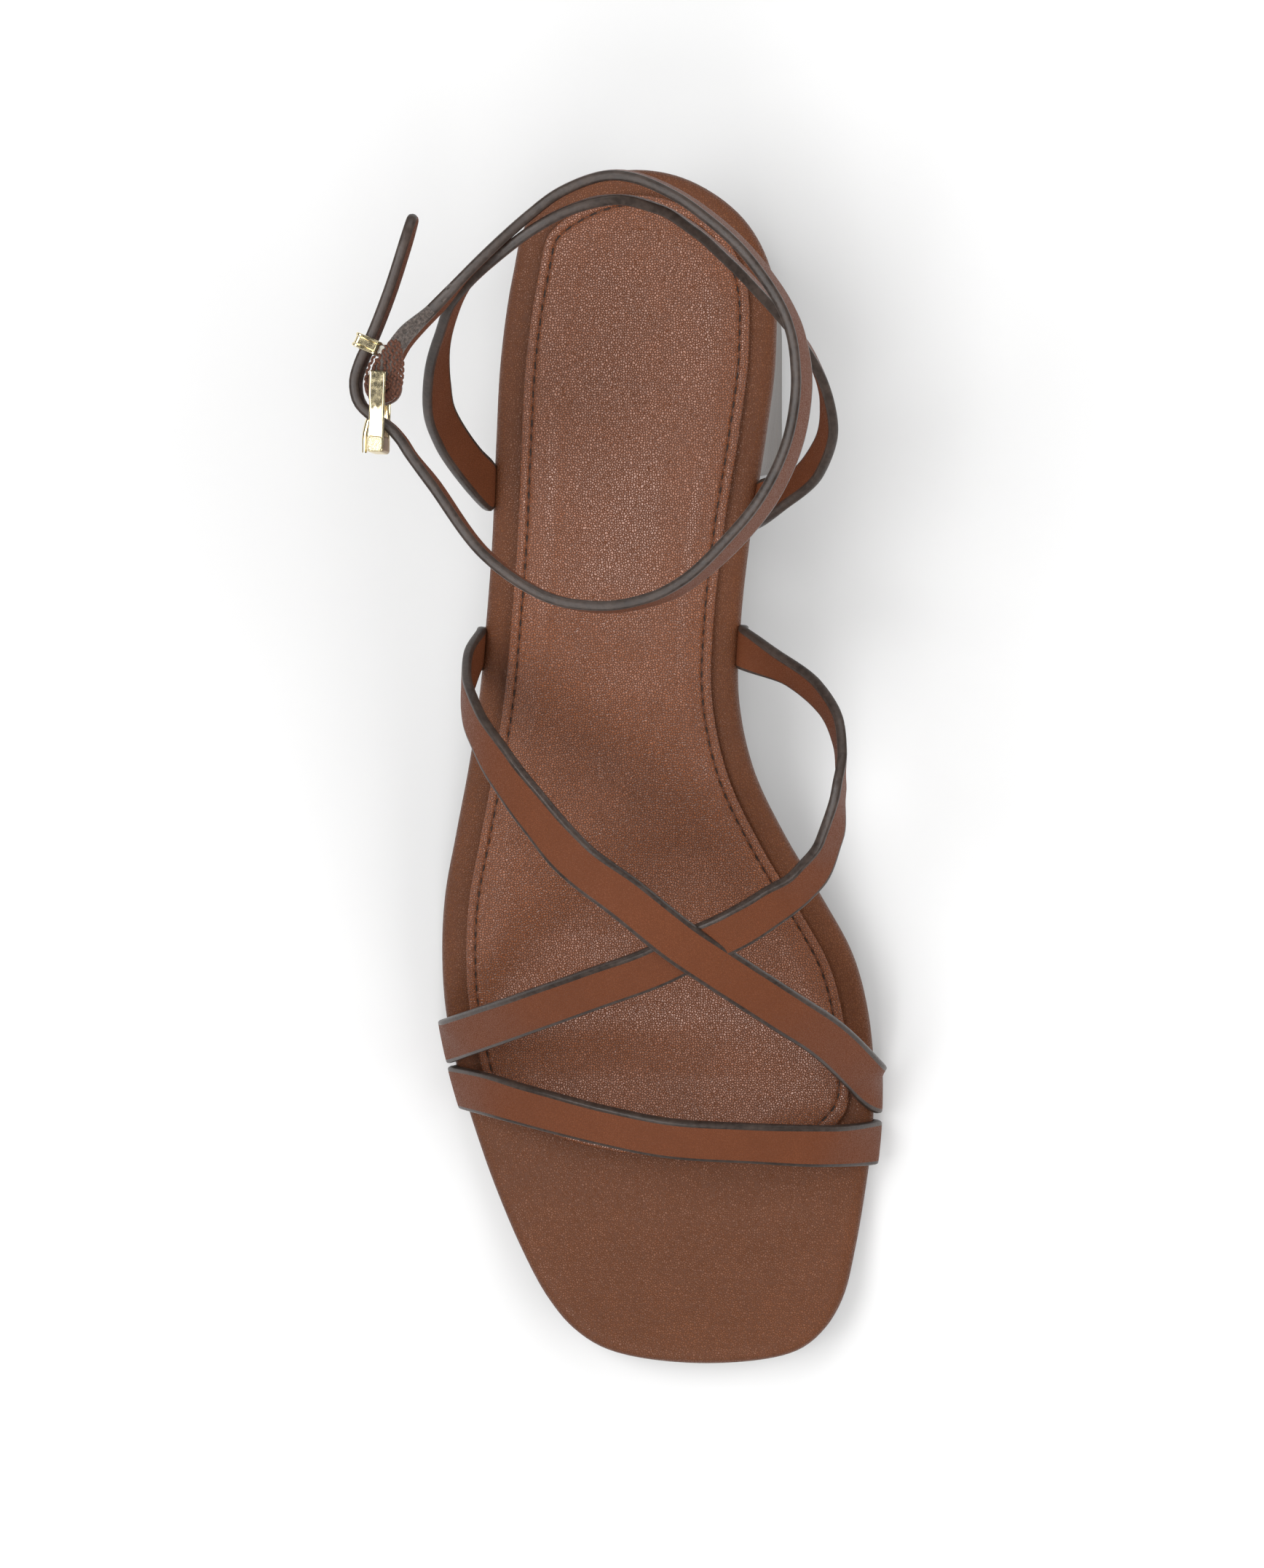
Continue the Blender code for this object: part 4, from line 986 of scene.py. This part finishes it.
def ribbon(mesh, stations, tip=0.0):
    """Closed strap along stations, with leather faces and painted edges. tip is the length of its
    rounded end."""
    rings = []
    first_face = len(mesh.faces)
    edge_finish, raw_finish = 1, 2
    middles = [station.middle for station in stations]
    lengths = lengths_along(middles)
    for index, station in enumerate(stations):
        run = run_at(middles, index)
        face = run.cross(station.edge).normalized()
        skew = max((station.edge - run * station.edge.dot(run)).length, 0.5)
        breadth, thickness = STRAP_WIDTH / skew, station.thickness
        if tip:
            left = lengths[-1] - lengths[index]
            breadth *= TIP_BREADTH + (1 - TIP_BREADTH) * quarter_round(left / tip)
            rounded = quarter_round(left / (0.6 * STRAP_THICKNESS))
            thickness *= TIP_THICKNESS + (1 - TIP_THICKNESS) * rounded
        section = strap_section(breadth, thickness)
        rings.append([station.middle + station.edge * across + face * through
                      for (across, through), painted in section])
    closed_loft(mesh, rings, edge_finish)
    mesh.faces.ensure_lookup_table()
    count = len(section)
    for number, wall in enumerate(mesh.faces[first_face:first_face + count * (len(stations) - 1)]):
        layers = stations[number // count].thickness / STRAP_THICKNESS
        frayed = FRAY * noise.noise(wall.calc_center_median() * FRAY_SCALE)
        raw = layers > SINGLE and layers + frayed > RAW_FROM
        painted = section[number % count][1]
        wall.material_index = (raw_finish if raw else edge_finish) if painted else 0


def anchored_straps(mesh, routes, rise_height):
    """Single straps whose ends are anchored in the sole."""
    for route in routes:
        ribbon(mesh, dense(route_stations(route, rise_height), STRAP_STEP))


def buckle_axes():
    """Matrix that takes ahead, out and up from the buckle's pin to the world."""
    heading = math.radians(BUCKLE_HEADING)
    ahead = Vector((-math.sin(heading), -math.cos(heading), 0.0))
    turned = Matrix((ahead, ahead.cross(UP), UP)).transposed().to_4x4()
    return Matrix.Translation(raise_point(BUCKLE_PIN, ANKLE_HEIGHT)) @ turned


def pin_path(spots):
    """Level points from places round the buckle, in its pin's own axes."""
    return [Vector((spot.ahead, spot.out, 0.0)) for spot in spots]


def rounded_section(width, height, corner, steps=4):
    """Closed rectangle with round corners, as pairs."""
    points = []
    for turn, (side, level) in enumerate(((1, 1), (-1, 1), (-1, -1), (1, -1))):
        for step in range(steps + 1):
            angle = math.pi / 2 * (turn + step / steps)
            points.append((side * (width / 2 - corner) + corner * math.cos(angle),
                           level * (height / 2 - corner) + corner * math.sin(angle)))
    return points


# A slice of a bar: its middle in the buckle's axes, its width and height, and its turn in radians
Slice = namedtuple("Slice", "ahead out up width height roll")


def bar(mesh, slices, axes, corner, upright=False):
    """Bar through slices, with rounded edges, closed at both ends. It runs ahead, or up where it is
    upright."""
    rings = []
    for ahead, out, up, width, height, roll in slices:
        ring = []
        for across, through in rounded_section(width, height, min(corner, 0.45 * width, 0.45 * height)):
            across, through = (across * math.cos(roll) + through * math.sin(roll),
                               through * math.cos(roll) - across * math.sin(roll))
            offset = Vector((through, across, 0.0)) if upright else Vector((0.0, across, through))
            ring.append(axes @ (Vector((ahead, out, up)) + offset))
        rings.append(ring)
    closed_loft(mesh, rings)


def tube(mesh, points, radii, axes, sides=14):
    """Round bar through points of a level curve, with one radius each."""
    rings = []
    for index, point in enumerate(points):
        run = run_at(points, index)
        side = run.cross(UP).normalized()
        lift = side.cross(run)
        rings.append([axes @ (point + spoke * radii[index]) for spoke in spokes(side, lift, sides)])
    closed_loft(mesh, rings)


def collar(mesh, section, axes, sides=32):
    """Ring round the buckle's pin, from a closed section of (distance, height)."""
    made = []
    for spoke in spokes(Vector((1.0, 0.0, 0.0)), Vector((0.0, 1.0, 0.0)), sides):
        made.append([mesh.verts.new(axes @ (spoke * distance + UP * height))
                     for distance, height in section])
    for first, second in zip(made, made[1:] + made[:1]):
        for j in range(len(section)):
            k = (j + 1) % len(section)
            mesh.faces.new((first[j], first[k], second[k], second[j]))


def knot(mesh, centre, run, normal, length, width, height, sides=8, steps=6):
    """A small egg of thread, lying along run."""
    across = run.cross(normal).normalized() * (width / 2)
    rise = normal * (height / 2)
    rings = []
    for step in range(1, steps):
        angle = math.pi * step / steps
        ring_centre = centre - run * (length / 2 * math.cos(angle))
        rings.append([ring_centre + spoke * math.sin(angle) for spoke in spokes(across, rise, sides)])
    made = loft(mesh, rings)
    for ring, end in ((made[0], -1), (made[-1], 1)):
        tip = mesh.verts.new(centre + run * (length / 2 * end))
        for i in range(sides):
            mesh.faces.new((ring[i], ring[(i + 1) % sides], tip))


class SANDAL_OT_footbed(bpy.types.Operator):
    """Leather cover of the footbed, with its rounded rim"""
    bl_idname = "sandal.footbed"
    bl_label = "Footbed cover"

    def execute(self, context):
        # The cover's leather carries painted shade in its grain's valleys and a painted highlight on its
        # pebble tops
        finish = leather("cover_leather_painted_light", colours().cover, sizes().cover_grain, depth=0.00006,
                         roughness=0.32, gloss=0.35, painted_shade_and_highlight=0.30, level=False)
        mesh = sole_layer(BED_SECTION, BED_FLOOR, outline_ring, columns=20)
        piece("footbed_cover", mesh, [finish], ["footbed"])
        return {"FINISHED"}


class SANDAL_OT_sock(bpy.types.Operator):
    """Padded leather sock with a sewn channel round its edge"""
    bl_idname = "sandal.sock"
    bl_label = "Padded sock"

    def execute(self, context):
        # The sock's leather carries painted shade in its grain's valleys and a painted highlight on its
        # pebble tops
        finish = leather("sock_leather_painted_light", colours().sock, sizes().sock_grain, depth=0.00009,
                         roughness=0.25, gloss=0.95, painted_shade_and_highlight=0.50)
        mesh = sole_layer(SOCK_SECTION, SOCK_FLOOR, sock_ring, columns=24, top=sock_dip, dent=seam_dents)
        made = piece("padded_sock", mesh, [finish], ["sock_lining"])
        return {"FINISHED"}


class SANDAL_OT_sock_seam(bpy.types.Operator):
    """Thread of the seam round the sock, and dark sheets of painted shade for its needle holes"""
    bl_idname = "sandal.sock_seam"
    bl_label = "Sock seam"

    def execute(self, context):
        holes = seam_points()
        radius = sizes().hole_radius
        half_length, half_breadth, gap = 2.0 * radius, 0.95 * radius, 1.5 * radius
        over_leather, sag = 0.00008, 0.0003
        mesh = bmesh.new()
        for number, hole in enumerate(holes):
            after = holes[(number + 1) % len(holes)]
            run = (after - holes[number - 1]).normalized()
            normal = run.cross(UP).normalized().cross(run).normalized()
            across = run.cross(normal)
            # Each needle hole is a dark sheet just over the leather: painted shade that stands for the
            # hole's dark inside
            rim = [mesh.verts.new(hole + normal * over_leather + spoke)
                   for spoke in spokes(run * half_length, across * half_breadth, sides=12)]
            mesh.faces.new(rim).material_index = 1
            stitch(mesh, hole + run * gap, after - run * gap, normal, sizes().thread_radius, sag)
        finishes = [thread("sock_thread", colours().thread, twist=0.0006),
                    painted_hole_shade("needle_hole_painted_shade", colours().hole)]
        piece("sock_seam_thread", mesh, finishes)
        return {"FINISHED"}


class SANDAL_OT_outsole(bpy.types.Operator):
    """Thin rubber outsole"""
    bl_idname = "sandal.outsole"
    bl_label = "Outsole"

    def execute(self, context):
        finish = rubber("outsole_rubber_finish", colours().outsole, rib=0.0022)
        mesh = sole_layer(OUTSOLE_SECTION, 0.0, lambda inset: outline_ring(OUTSOLE_INSET + inset),
                          columns=12)
        piece("outsole_layer", mesh, [finish], ["outsole"])
        return {"FINISHED"}


def heel_ring(share):
    """Plan of the heel at a share of the way down: 0 at the seat, 1 at the floor."""
    side_count, corner_count, front_count = 60, 5, 8
    half_breadth = HEEL_FOOT_BREADTH / 2
    sides = {}
    for side, outward in (("lateral", -1), ("medial", 1)):
        seat = side_points(side, HEEL_SEAT_INSET, side_count, HEEL_LENGTH / LENGTH)
        points = []
        for point in seat:
            depth = (BACK - HEEL_SEAT_INSET - point.y) * HEEL_FOOT_LENGTH / (HEEL_LENGTH - HEEL_SEAT_INSET)
            ahead = 1 - clamped(depth / HEEL_ROUND)
            goal_x = outward * half_breadth * math.sqrt(1 - ahead * ahead)
            points.append(point.lerp(Vector((goal_x, HEEL_FOOT_LENGTH / 2 - depth)), share))
        sides[side] = points
    front = {}
    for side, other in (("lateral", "medial"), ("medial", "lateral")):
        corner = sides[side][-1]
        trimmed = spaced(sides[side], side_count, HEEL_CORNER)
        leave = corner + (sides[other][-1] - corner).normalized() * HEEL_CORNER
        turn = []
        for step in range(1, corner_count + 1):
            t = step / corner_count
            turn.append(trimmed[-1] * (1 - t)**2 + corner * 2 * t * (1 - t) + leave * t**2)
        front[side] = trimmed + turn
    straight = [front["lateral"][-1].lerp(front["medial"][-1], i / front_count)
                for i in range(1, front_count)]
    return front["lateral"] + straight + front["medial"][:0:-1]


def heel_loft(levels):
    """Piece of the heel as a bmesh, from rings that are already raised."""
    mesh = bmesh.new()
    made = loft(mesh, levels)
    for ring in (made[0], made[-1]):
        fill_across(mesh, ring, columns=6, place=lambda point, across, along: point)
    return mesh


def inset_ring(ring, inset):
    centre = sum(ring, Vector((0.0, 0.0))) / len(ring)
    return [point - (point - centre).normalized() * inset for point in ring]


class SANDAL_OT_heel(bpy.types.Operator):
    """Stacked heel and its rubber top piece"""
    bl_idname = "sandal.heel"
    bl_label = "Heel"

    def execute(self, context):
        foot = TOP_PIECE_THICKNESS + GAP
        # Over the straight part the rings are level, and above it they bend to the sole
        straight, seat = 0.65, HEEL_RISE * 0.8
        steps, bevel = 24, 0.0003
        levels = []
        for height in [0.0, 0.005] + [i / steps for i in range(1, steps + 1)]:
            ring = inset_ring(heel_ring(between(HEEL_TAPER, "rise", height)), 0.0 if height else bevel)
            bend = clamped((height - straight) / (1 - straight))
            level = foot + height * (seat - foot)
            levels.append([(p.x, p.y, level * (1 - bend) + (sole_height(along_of(p)) - GAP) * bend)
                           for p in ring])
        finish = stacked_leather(colours().heel, sizes().heel_layer)
        piece("heel_stack", heel_loft(levels), [finish], ["heel_block"])

        ring = heel_ring(1.0)
        top = TOP_PIECE_THICKNESS
        sections = [Section(0.0011, 0.0), Section(0.0006, 0.0001), Section(0.0004, 0.0004),
                    Section(0.0003, 0.0010), Section(0.0003, top - 0.0003), Section(0.0005, top)]
        levels = [[(p.x, p.y, lift) for p in inset_ring(ring, inset)] for inset, lift in sections]
        finish = rubber("top_piece_rubber_finish", colours().top_piece, rib=0.0016)
        piece("heel_top_piece", heel_loft(levels), [finish], ["top_piece"])
        return {"FINISHED"}


def strap_finishes():
    """The straps' leather, edge paint and raw edge, made once."""
    known = bpy.data.materials
    # The straps' leather carries a light painted shade in its grain's valleys and a painted highlight on
    # its pebble tops
    face = known.get("strap_leather_painted_light") or leather(
        "strap_leather_painted_light", colours().strap, pebble=0.00038, depth=0.00003, roughness=0.38, gloss=0.20,
        painted_shade_and_highlight=0.16, mottle=0.12, level=False)
    return [face, known.get("edge_paint") or edge_paint(colours().paint),
            known.get("raw_edge") or raw_edge(colours().raw)]


class SANDAL_OT_toe_strap(bpy.types.Operator):
    """Strap over the toes"""
    bl_idname = "sandal.toe_strap"
    bl_label = "Toe strap"

    def execute(self, context):
        mesh = bmesh.new()
        anchored_straps(mesh, [TOE_STRAP], INSTEP_HEIGHT)
        piece("toe_strap_leather", mesh, strap_finishes(), ["toe_strap"])
        return {"FINISHED"}


class SANDAL_OT_cross_straps(bpy.types.Operator):
    """The two straps that cross over the instep"""
    bl_idname = "sandal.cross_straps"
    bl_label = "Instep straps"

    def execute(self, context):
        mesh = bmesh.new()
        anchored_straps(mesh, [CROSS_STRAP_OVER, CROSS_STRAP_UNDER], INSTEP_HEIGHT)
        piece("instep_straps_leather", mesh, strap_finishes(), ["cross_straps"])
        return {"FINISHED"}


class SANDAL_OT_ankle_straps(bpy.types.Operator):
    """Strap round the back of the heel and the ankle strap"""
    bl_idname = "sandal.ankle_straps"
    bl_label = "Heel and ankle straps"

    def execute(self, context):
        double = 2 * STRAP_THICKNESS + GAP
        axes = buckle_axes()
        middles = [axes @ point for point in pin_path(BUCKLE_TAB)]
        middles += [raise_point(row, ANKLE_HEIGHT) for row in ANKLE_STRAP]
        middles += [axes @ point for point in pin_path(STRAP_THROUGH_BUCKLE)]
        leans = [0] * len(BUCKLE_TAB) + [row.lean for row in ANKLE_STRAP] + [0] * len(STRAP_THROUGH_BUCKLE)
        # The folded end thins out to a single strap
        thick = [0.9 * double, 0.9 * double, 0.8 * double, 1.2 * STRAP_THICKNESS]
        thick += [STRAP_THICKNESS] * (len(middles) - len(thick))
        stations = [leaning(middles, i, leans[i], thick[i]) for i in range(len(middles))]
        # Close stations at the rounded tip, and one of every few elsewhere
        finer, fine_length = 4, 0.010
        fine = dense(stations, STRAP_STEP / finer)
        tip_start = len(fine) - round(fine_length / (STRAP_STEP / finer))
        mesh = bmesh.new()
        ribbon(mesh, [station for i, station in enumerate(fine) if i % finer == 0 or i > tip_start],
               TIP_LENGTH)
        anchored_straps(mesh, [HEEL_STRAP], ANKLE_HEIGHT)
        piece("heel_ankle_straps_leather", mesh, strap_finishes(),
              ["heel_and_ankle_straps"])
        return {"FINISHED"}


class SANDAL_OT_buckle_fold(bpy.types.Operator):
    """Strap's fold round the buckle's pin, wound with thread"""
    bl_idname = "sandal.buckle_fold"
    bl_label = "Buckle fold"

    def execute(self, context):
        axes = buckle_axes()
        inner = PIN_RADIUS + CLEARANCE
        outer = inner + STRAP_THICKNESS
        room = PRONG_RADIUS + 2 * CLEARANCE
        size = sizes().knot_size
        pitch, width, height = 0.68 * size, 0.62 * size, 0.55 * size
        slant, over_leather, sewn_in = 36, 0.0001, 0.0004
        tall = STRAP_WIDTH - sewn_in
        mesh = bmesh.new()
        for side in (1, -1):
            loop = tall / 2 - room
            section = [((inner + outer) / 2 + x, side * (room + loop / 2) + y)
                       for x, y in rounded_section(outer - inner, loop, corner=0.0006)]
            collar(mesh, section, axes)
        for side, lines in ((1, FOLD_LINES), (-1, LOWER_FOLD_LINES)):
            lift = UP * (side * (tall / 2 + over_leather))
            for number, line in enumerate(lines):
                path = spaced(smooth_path(pin_path(line), step=0.0003), count=60)
                count = round(lengths_along(path)[-1] / pitch)
                spots = spaced(path, count)
                for i, spot in enumerate(spots):
                    turn = math.radians(slant if (i + number) % 2 else -slant)
                    run = axes.to_3x3() @ (Matrix.Rotation(turn, 3, UP) @ run_at(spots, i))
                    knot(mesh, axes @ (spot + lift), run, UP, size, width, height)
        finish = thread("fold_thread", colours().fold, twist=0.0008)
        piece("buckle_fold_thread", mesh, [finish])
        return {"FINISHED"}


def side_bar(mesh, axes, side, level):
    """The frame's upper or lower bar, which turns a little towards the light, with a rib inside it."""
    steps, full_roll, bevel = 24, math.radians(9.0), 0.0002
    length = BUCKLE_BACK + BUCKLE_FRONT - 0.3 * FRONT_BAR_LENGTH
    slices = []
    for step in range(steps + 1):
        share = step / steps
        depth = between(BAR_PROFILE, "rise", share)
        width = BUCKLE_WAIST_DEPTH + depth * (BUCKLE_SIDE_DEPTH - BUCKLE_WAIST_DEPTH)
        squeeze = 0.8 if step == 0 else 1.0
        roll = side * full_roll * eased(clamped((share - 0.35) / 0.4))
        slices.append(Slice(-BUCKLE_BACK + share * length, FRAME_OUT, side * level, width * squeeze,
                            BUCKLE_SIDE_HEIGHT * squeeze, roll))
    slices.insert(1, slices[1]._replace(ahead=-BUCKLE_BACK + bevel))
    bar(mesh, slices, axes, corner=0.00030)
    rib_width, rib_height = 0.00042, 0.0006
    rib_out = FRAME_OUT - BUCKLE_SIDE_DEPTH / 2 + 0.0002
    rib_up = side * (level + BUCKLE_SIDE_HEIGHT / 2 - 0.00012)
    bar(mesh, [Slice(-BUCKLE_BACK + share * length, rib_out, rib_up, rib_width, rib_height, 0.0)
               for share in (0.04, 0.10, 0.5, 0.93)], axes, corner=0.0001)


def front_bar(mesh, axes, tall):
    """The frame's grainy front bar, with bevelled ends."""
    bevel = [(0.0, 0.0007), (0.00012, 0.0003), (0.0005, 0.0)]
    levels = [(-tall / 2 + depth, shrink) for depth, shrink in bevel] + [(0.0, 0.0)]
    levels += [(tall / 2 - depth, shrink) for depth, shrink in reversed(bevel)]
    slices = [Slice(BUCKLE_FRONT - FRONT_BAR_LENGTH / 2, FRAME_OUT, up, FRONT_BAR_DEPTH - shrink,
                    FRONT_BAR_LENGTH - shrink, 0.0) for up, shrink in levels]
    bar(mesh, slices, axes, corner=0.0006, upright=True)


class SANDAL_OT_buckle(bpy.types.Operator):
    """Buckle frame with its pin, and the prong"""
    bl_idname = "sandal.buckle"
    bl_label = "Buckle"

    def execute(self, context):
        axes = buckle_axes()
        metal = polished_metal("gold_finish", colours().gold, dust=0.0009, depth=0.00001, roughness=0.07)
        glitter = polished_metal("gold_glitter_finish", colours().gold, dust=0.00020, depth=0.00007,
                                 roughness=0.26)
        opening = STRAP_WIDTH + 2 * BUCKLE_PLAY
        level = (opening + BUCKLE_SIDE_HEIGHT) / 2
        mesh = bmesh.new()
        for side in (1, -1):
            side_bar(mesh, axes, side, level)
        plain = len(mesh.faces)
        front_bar(mesh, axes, opening + 2.3 * BUCKLE_SIDE_HEIGHT)
        mesh.faces.ensure_lookup_table()
        for face in mesh.faces[plain:]:
            face.material_index = 1
        core = 0.00002
        collar(mesh, [(core, -level), (PIN_RADIUS, -level), (PIN_RADIUS, level), (core, level)], axes,
               sides=48)
        piece("buckle_frame_metal", mesh, [metal, glitter], ["buckle_frame"], sharp=10)

        mesh = bmesh.new()
        path = smooth_path(pin_path(PRONG), step=0.0005)
        slim = len(path) // 2
        taper = 0.35 / (slim + 1)
        radii = [PRONG_RADIUS * (1 - taper * max(i - slim, 0)) for i in range(len(path))]
        tube(mesh, path, radii, axes)
        ring = [(PIN_RADIUS + CLEARANCE + PRONG_RING_WALL / 2 + x, y)
                for x, y in rounded_section(PRONG_RING_WALL, 2 * PRONG_RADIUS, corner=0.0003)]
        collar(mesh, ring, axes)
        piece("buckle_prong_metal", mesh, [metal], ["buckle_prong"], sharp=30)
        return {"FINISHED"}


class SANDAL_OT_keeper(bpy.types.Operator):
    """Metal loop round the strap's free end"""
    bl_idname = "sandal.keeper"
    bl_label = "Keeper"

    def execute(self, context):
        axes = buckle_axes()
        before, centre, after = pin_path(STRAP_THROUGH_BUCKLE[KEEPER_PLACE - 1:KEEPER_PLACE + 2])
        run = (after - before).normalized()
        square = Vector((-run.y, run.x, 0.0))
        tall = STRAP_WIDTH + 2 * BUCKLE_PLAY + 2 * KEEPER_WALL
        rings = []
        for end, wall in KEEPER_SECTION:
            grow = 2 * KEEPER_WALL * (wall - 1)
            corner = 0.0002 + 0.0008 * wall
            section = rounded_section(KEEPER_DEPTH + grow, tall + grow, corner, steps=5)
            middle = centre + run * (end * KEEPER_LENGTH)
            rings.append([axes @ (middle + square * across + UP * up)
                          for across, up in section])
        mesh = bmesh.new()
        made = loft(mesh, rings)
        for i in range(len(made[0])):
            j = (i + 1) % len(made[0])
            mesh.faces.new((made[-1][i], made[-1][j], made[0][j], made[0][i]))
        metal = bpy.data.materials.get("gold_finish")
        piece("strap_keeper_metal", mesh, [metal], ["strap_keeper"], sharp=8)
        return {"FINISHED"}


def looking(place, target):
    """Matrix of a camera or light at a place that looks at a point, with +Y up in its view."""
    place = Vector(place)
    forward = (Vector(target) - place).normalized()
    right = forward.cross(Vector((0.0, 1.0, 0.0))).normalized()
    up = right.cross(forward)
    return Matrix.Translation(place) @ Matrix((right, up, -forward)).transposed().to_4x4()


def softbox(light):
    """Rectangular studio light over the sandal."""
    data = bpy.data.lights.new(light.name, "AREA")
    data.shape = "RECTANGLE"
    data.size, data.size_y = light.size
    data.energy = light.energy
    made = bpy.data.objects.new(light.name, data)
    made.matrix_world = looking(light.place, LIGHT_TARGET)
    made.visible_glossy = light.mirrored
    bpy.context.scene.collection.objects.link(made)


class SANDAL_OT_stage(bpy.types.Operator):
    """Pale floor, soft studio light and the camera over the sandal"""
    bl_idname = "sandal.stage"
    bl_label = "Stage"

    def execute(self, context):
        scene = context.scene
        mesh = bmesh.new()
        bmesh.ops.create_grid(mesh, x_segments=24, y_segments=24, size=3.0)
        data = bpy.data.meshes.new("studio_floor")
        mesh.to_mesh(data)
        mesh.free()
        data.materials.append(matte_paper("floor_paper", colours().floor))
        floor = bpy.data.objects.new("studio_floor", data)
        scene.collection.objects.link(floor)

        scene.view_settings.view_transform = "Standard"
        world = bpy.data.worlds.new("studio")
        world.use_nodes = True
        back = world.node_tree.nodes["Background"]
        back.inputs["Color"].default_value = (1.0, 1.0, 1.0, 1.0)
        back.inputs["Strength"].default_value = WORLD_STRENGTH
        scene.world = world
        for light in LIGHTS:
            softbox(light)

        data = bpy.data.cameras.new("studio_camera")
        data.sensor_fit = "HORIZONTAL"
        data.sensor_width = 36.0
        data.lens = CAMERA_LENS
        data.clip_start = 0.05
        camera = bpy.data.objects.new("studio_camera", data)
        camera.matrix_world = looking(CAMERA_PLACE, CAMERA_TARGET)
        scene.collection.objects.link(camera)
        scene.camera = camera
        return {"FINISHED"}


PIECE_OPERATORS = [
    SANDAL_OT_stage, SANDAL_OT_footbed, SANDAL_OT_sock, SANDAL_OT_sock_seam, SANDAL_OT_outsole,
    SANDAL_OT_heel, SANDAL_OT_toe_strap, SANDAL_OT_cross_straps, SANDAL_OT_ankle_straps,
    SANDAL_OT_buckle_fold, SANDAL_OT_buckle, SANDAL_OT_keeper]


class SANDAL_PT_panel(bpy.types.Panel):
    """Sizes, colours and pieces of the sandal"""
    bl_idname = "SANDAL_PT_panel"
    bl_label = "Sandal"
    bl_space_type = "VIEW_3D"
    bl_region_type = "UI"
    bl_category = "Sandal"

    def draw(self, context):
        for settings in (context.scene.sandal_sizes, context.scene.sandal_colours):
            box = self.layout.box()
            for name in settings.bl_rna.properties.keys():
                if name not in ("rna_type", "name"):
                    box.prop(settings, name)
        column = self.layout.column(align=True)
        for operator in PIECE_OPERATORS:
            column.operator(operator.bl_idname)


CLASSES = [SandalSizes, SandalColours, *PIECE_OPERATORS, SANDAL_PT_panel]


def register():
    for made in CLASSES:
        bpy.utils.register_class(made)
    bpy.types.Scene.sandal_sizes = bpy.props.PointerProperty(type=SandalSizes)
    bpy.types.Scene.sandal_colours = bpy.props.PointerProperty(type=SandalColours)


def unregister():
    del bpy.types.Scene.sandal_colours
    del bpy.types.Scene.sandal_sizes
    for made in reversed(CLASSES):
        bpy.utils.unregister_class(made)


def main():
    register()
    for operator in PIECE_OPERATORS:
        group, name = operator.bl_idname.split(".")
        getattr(getattr(bpy.ops, group), name)()


if __name__ == "__main__":
    main()
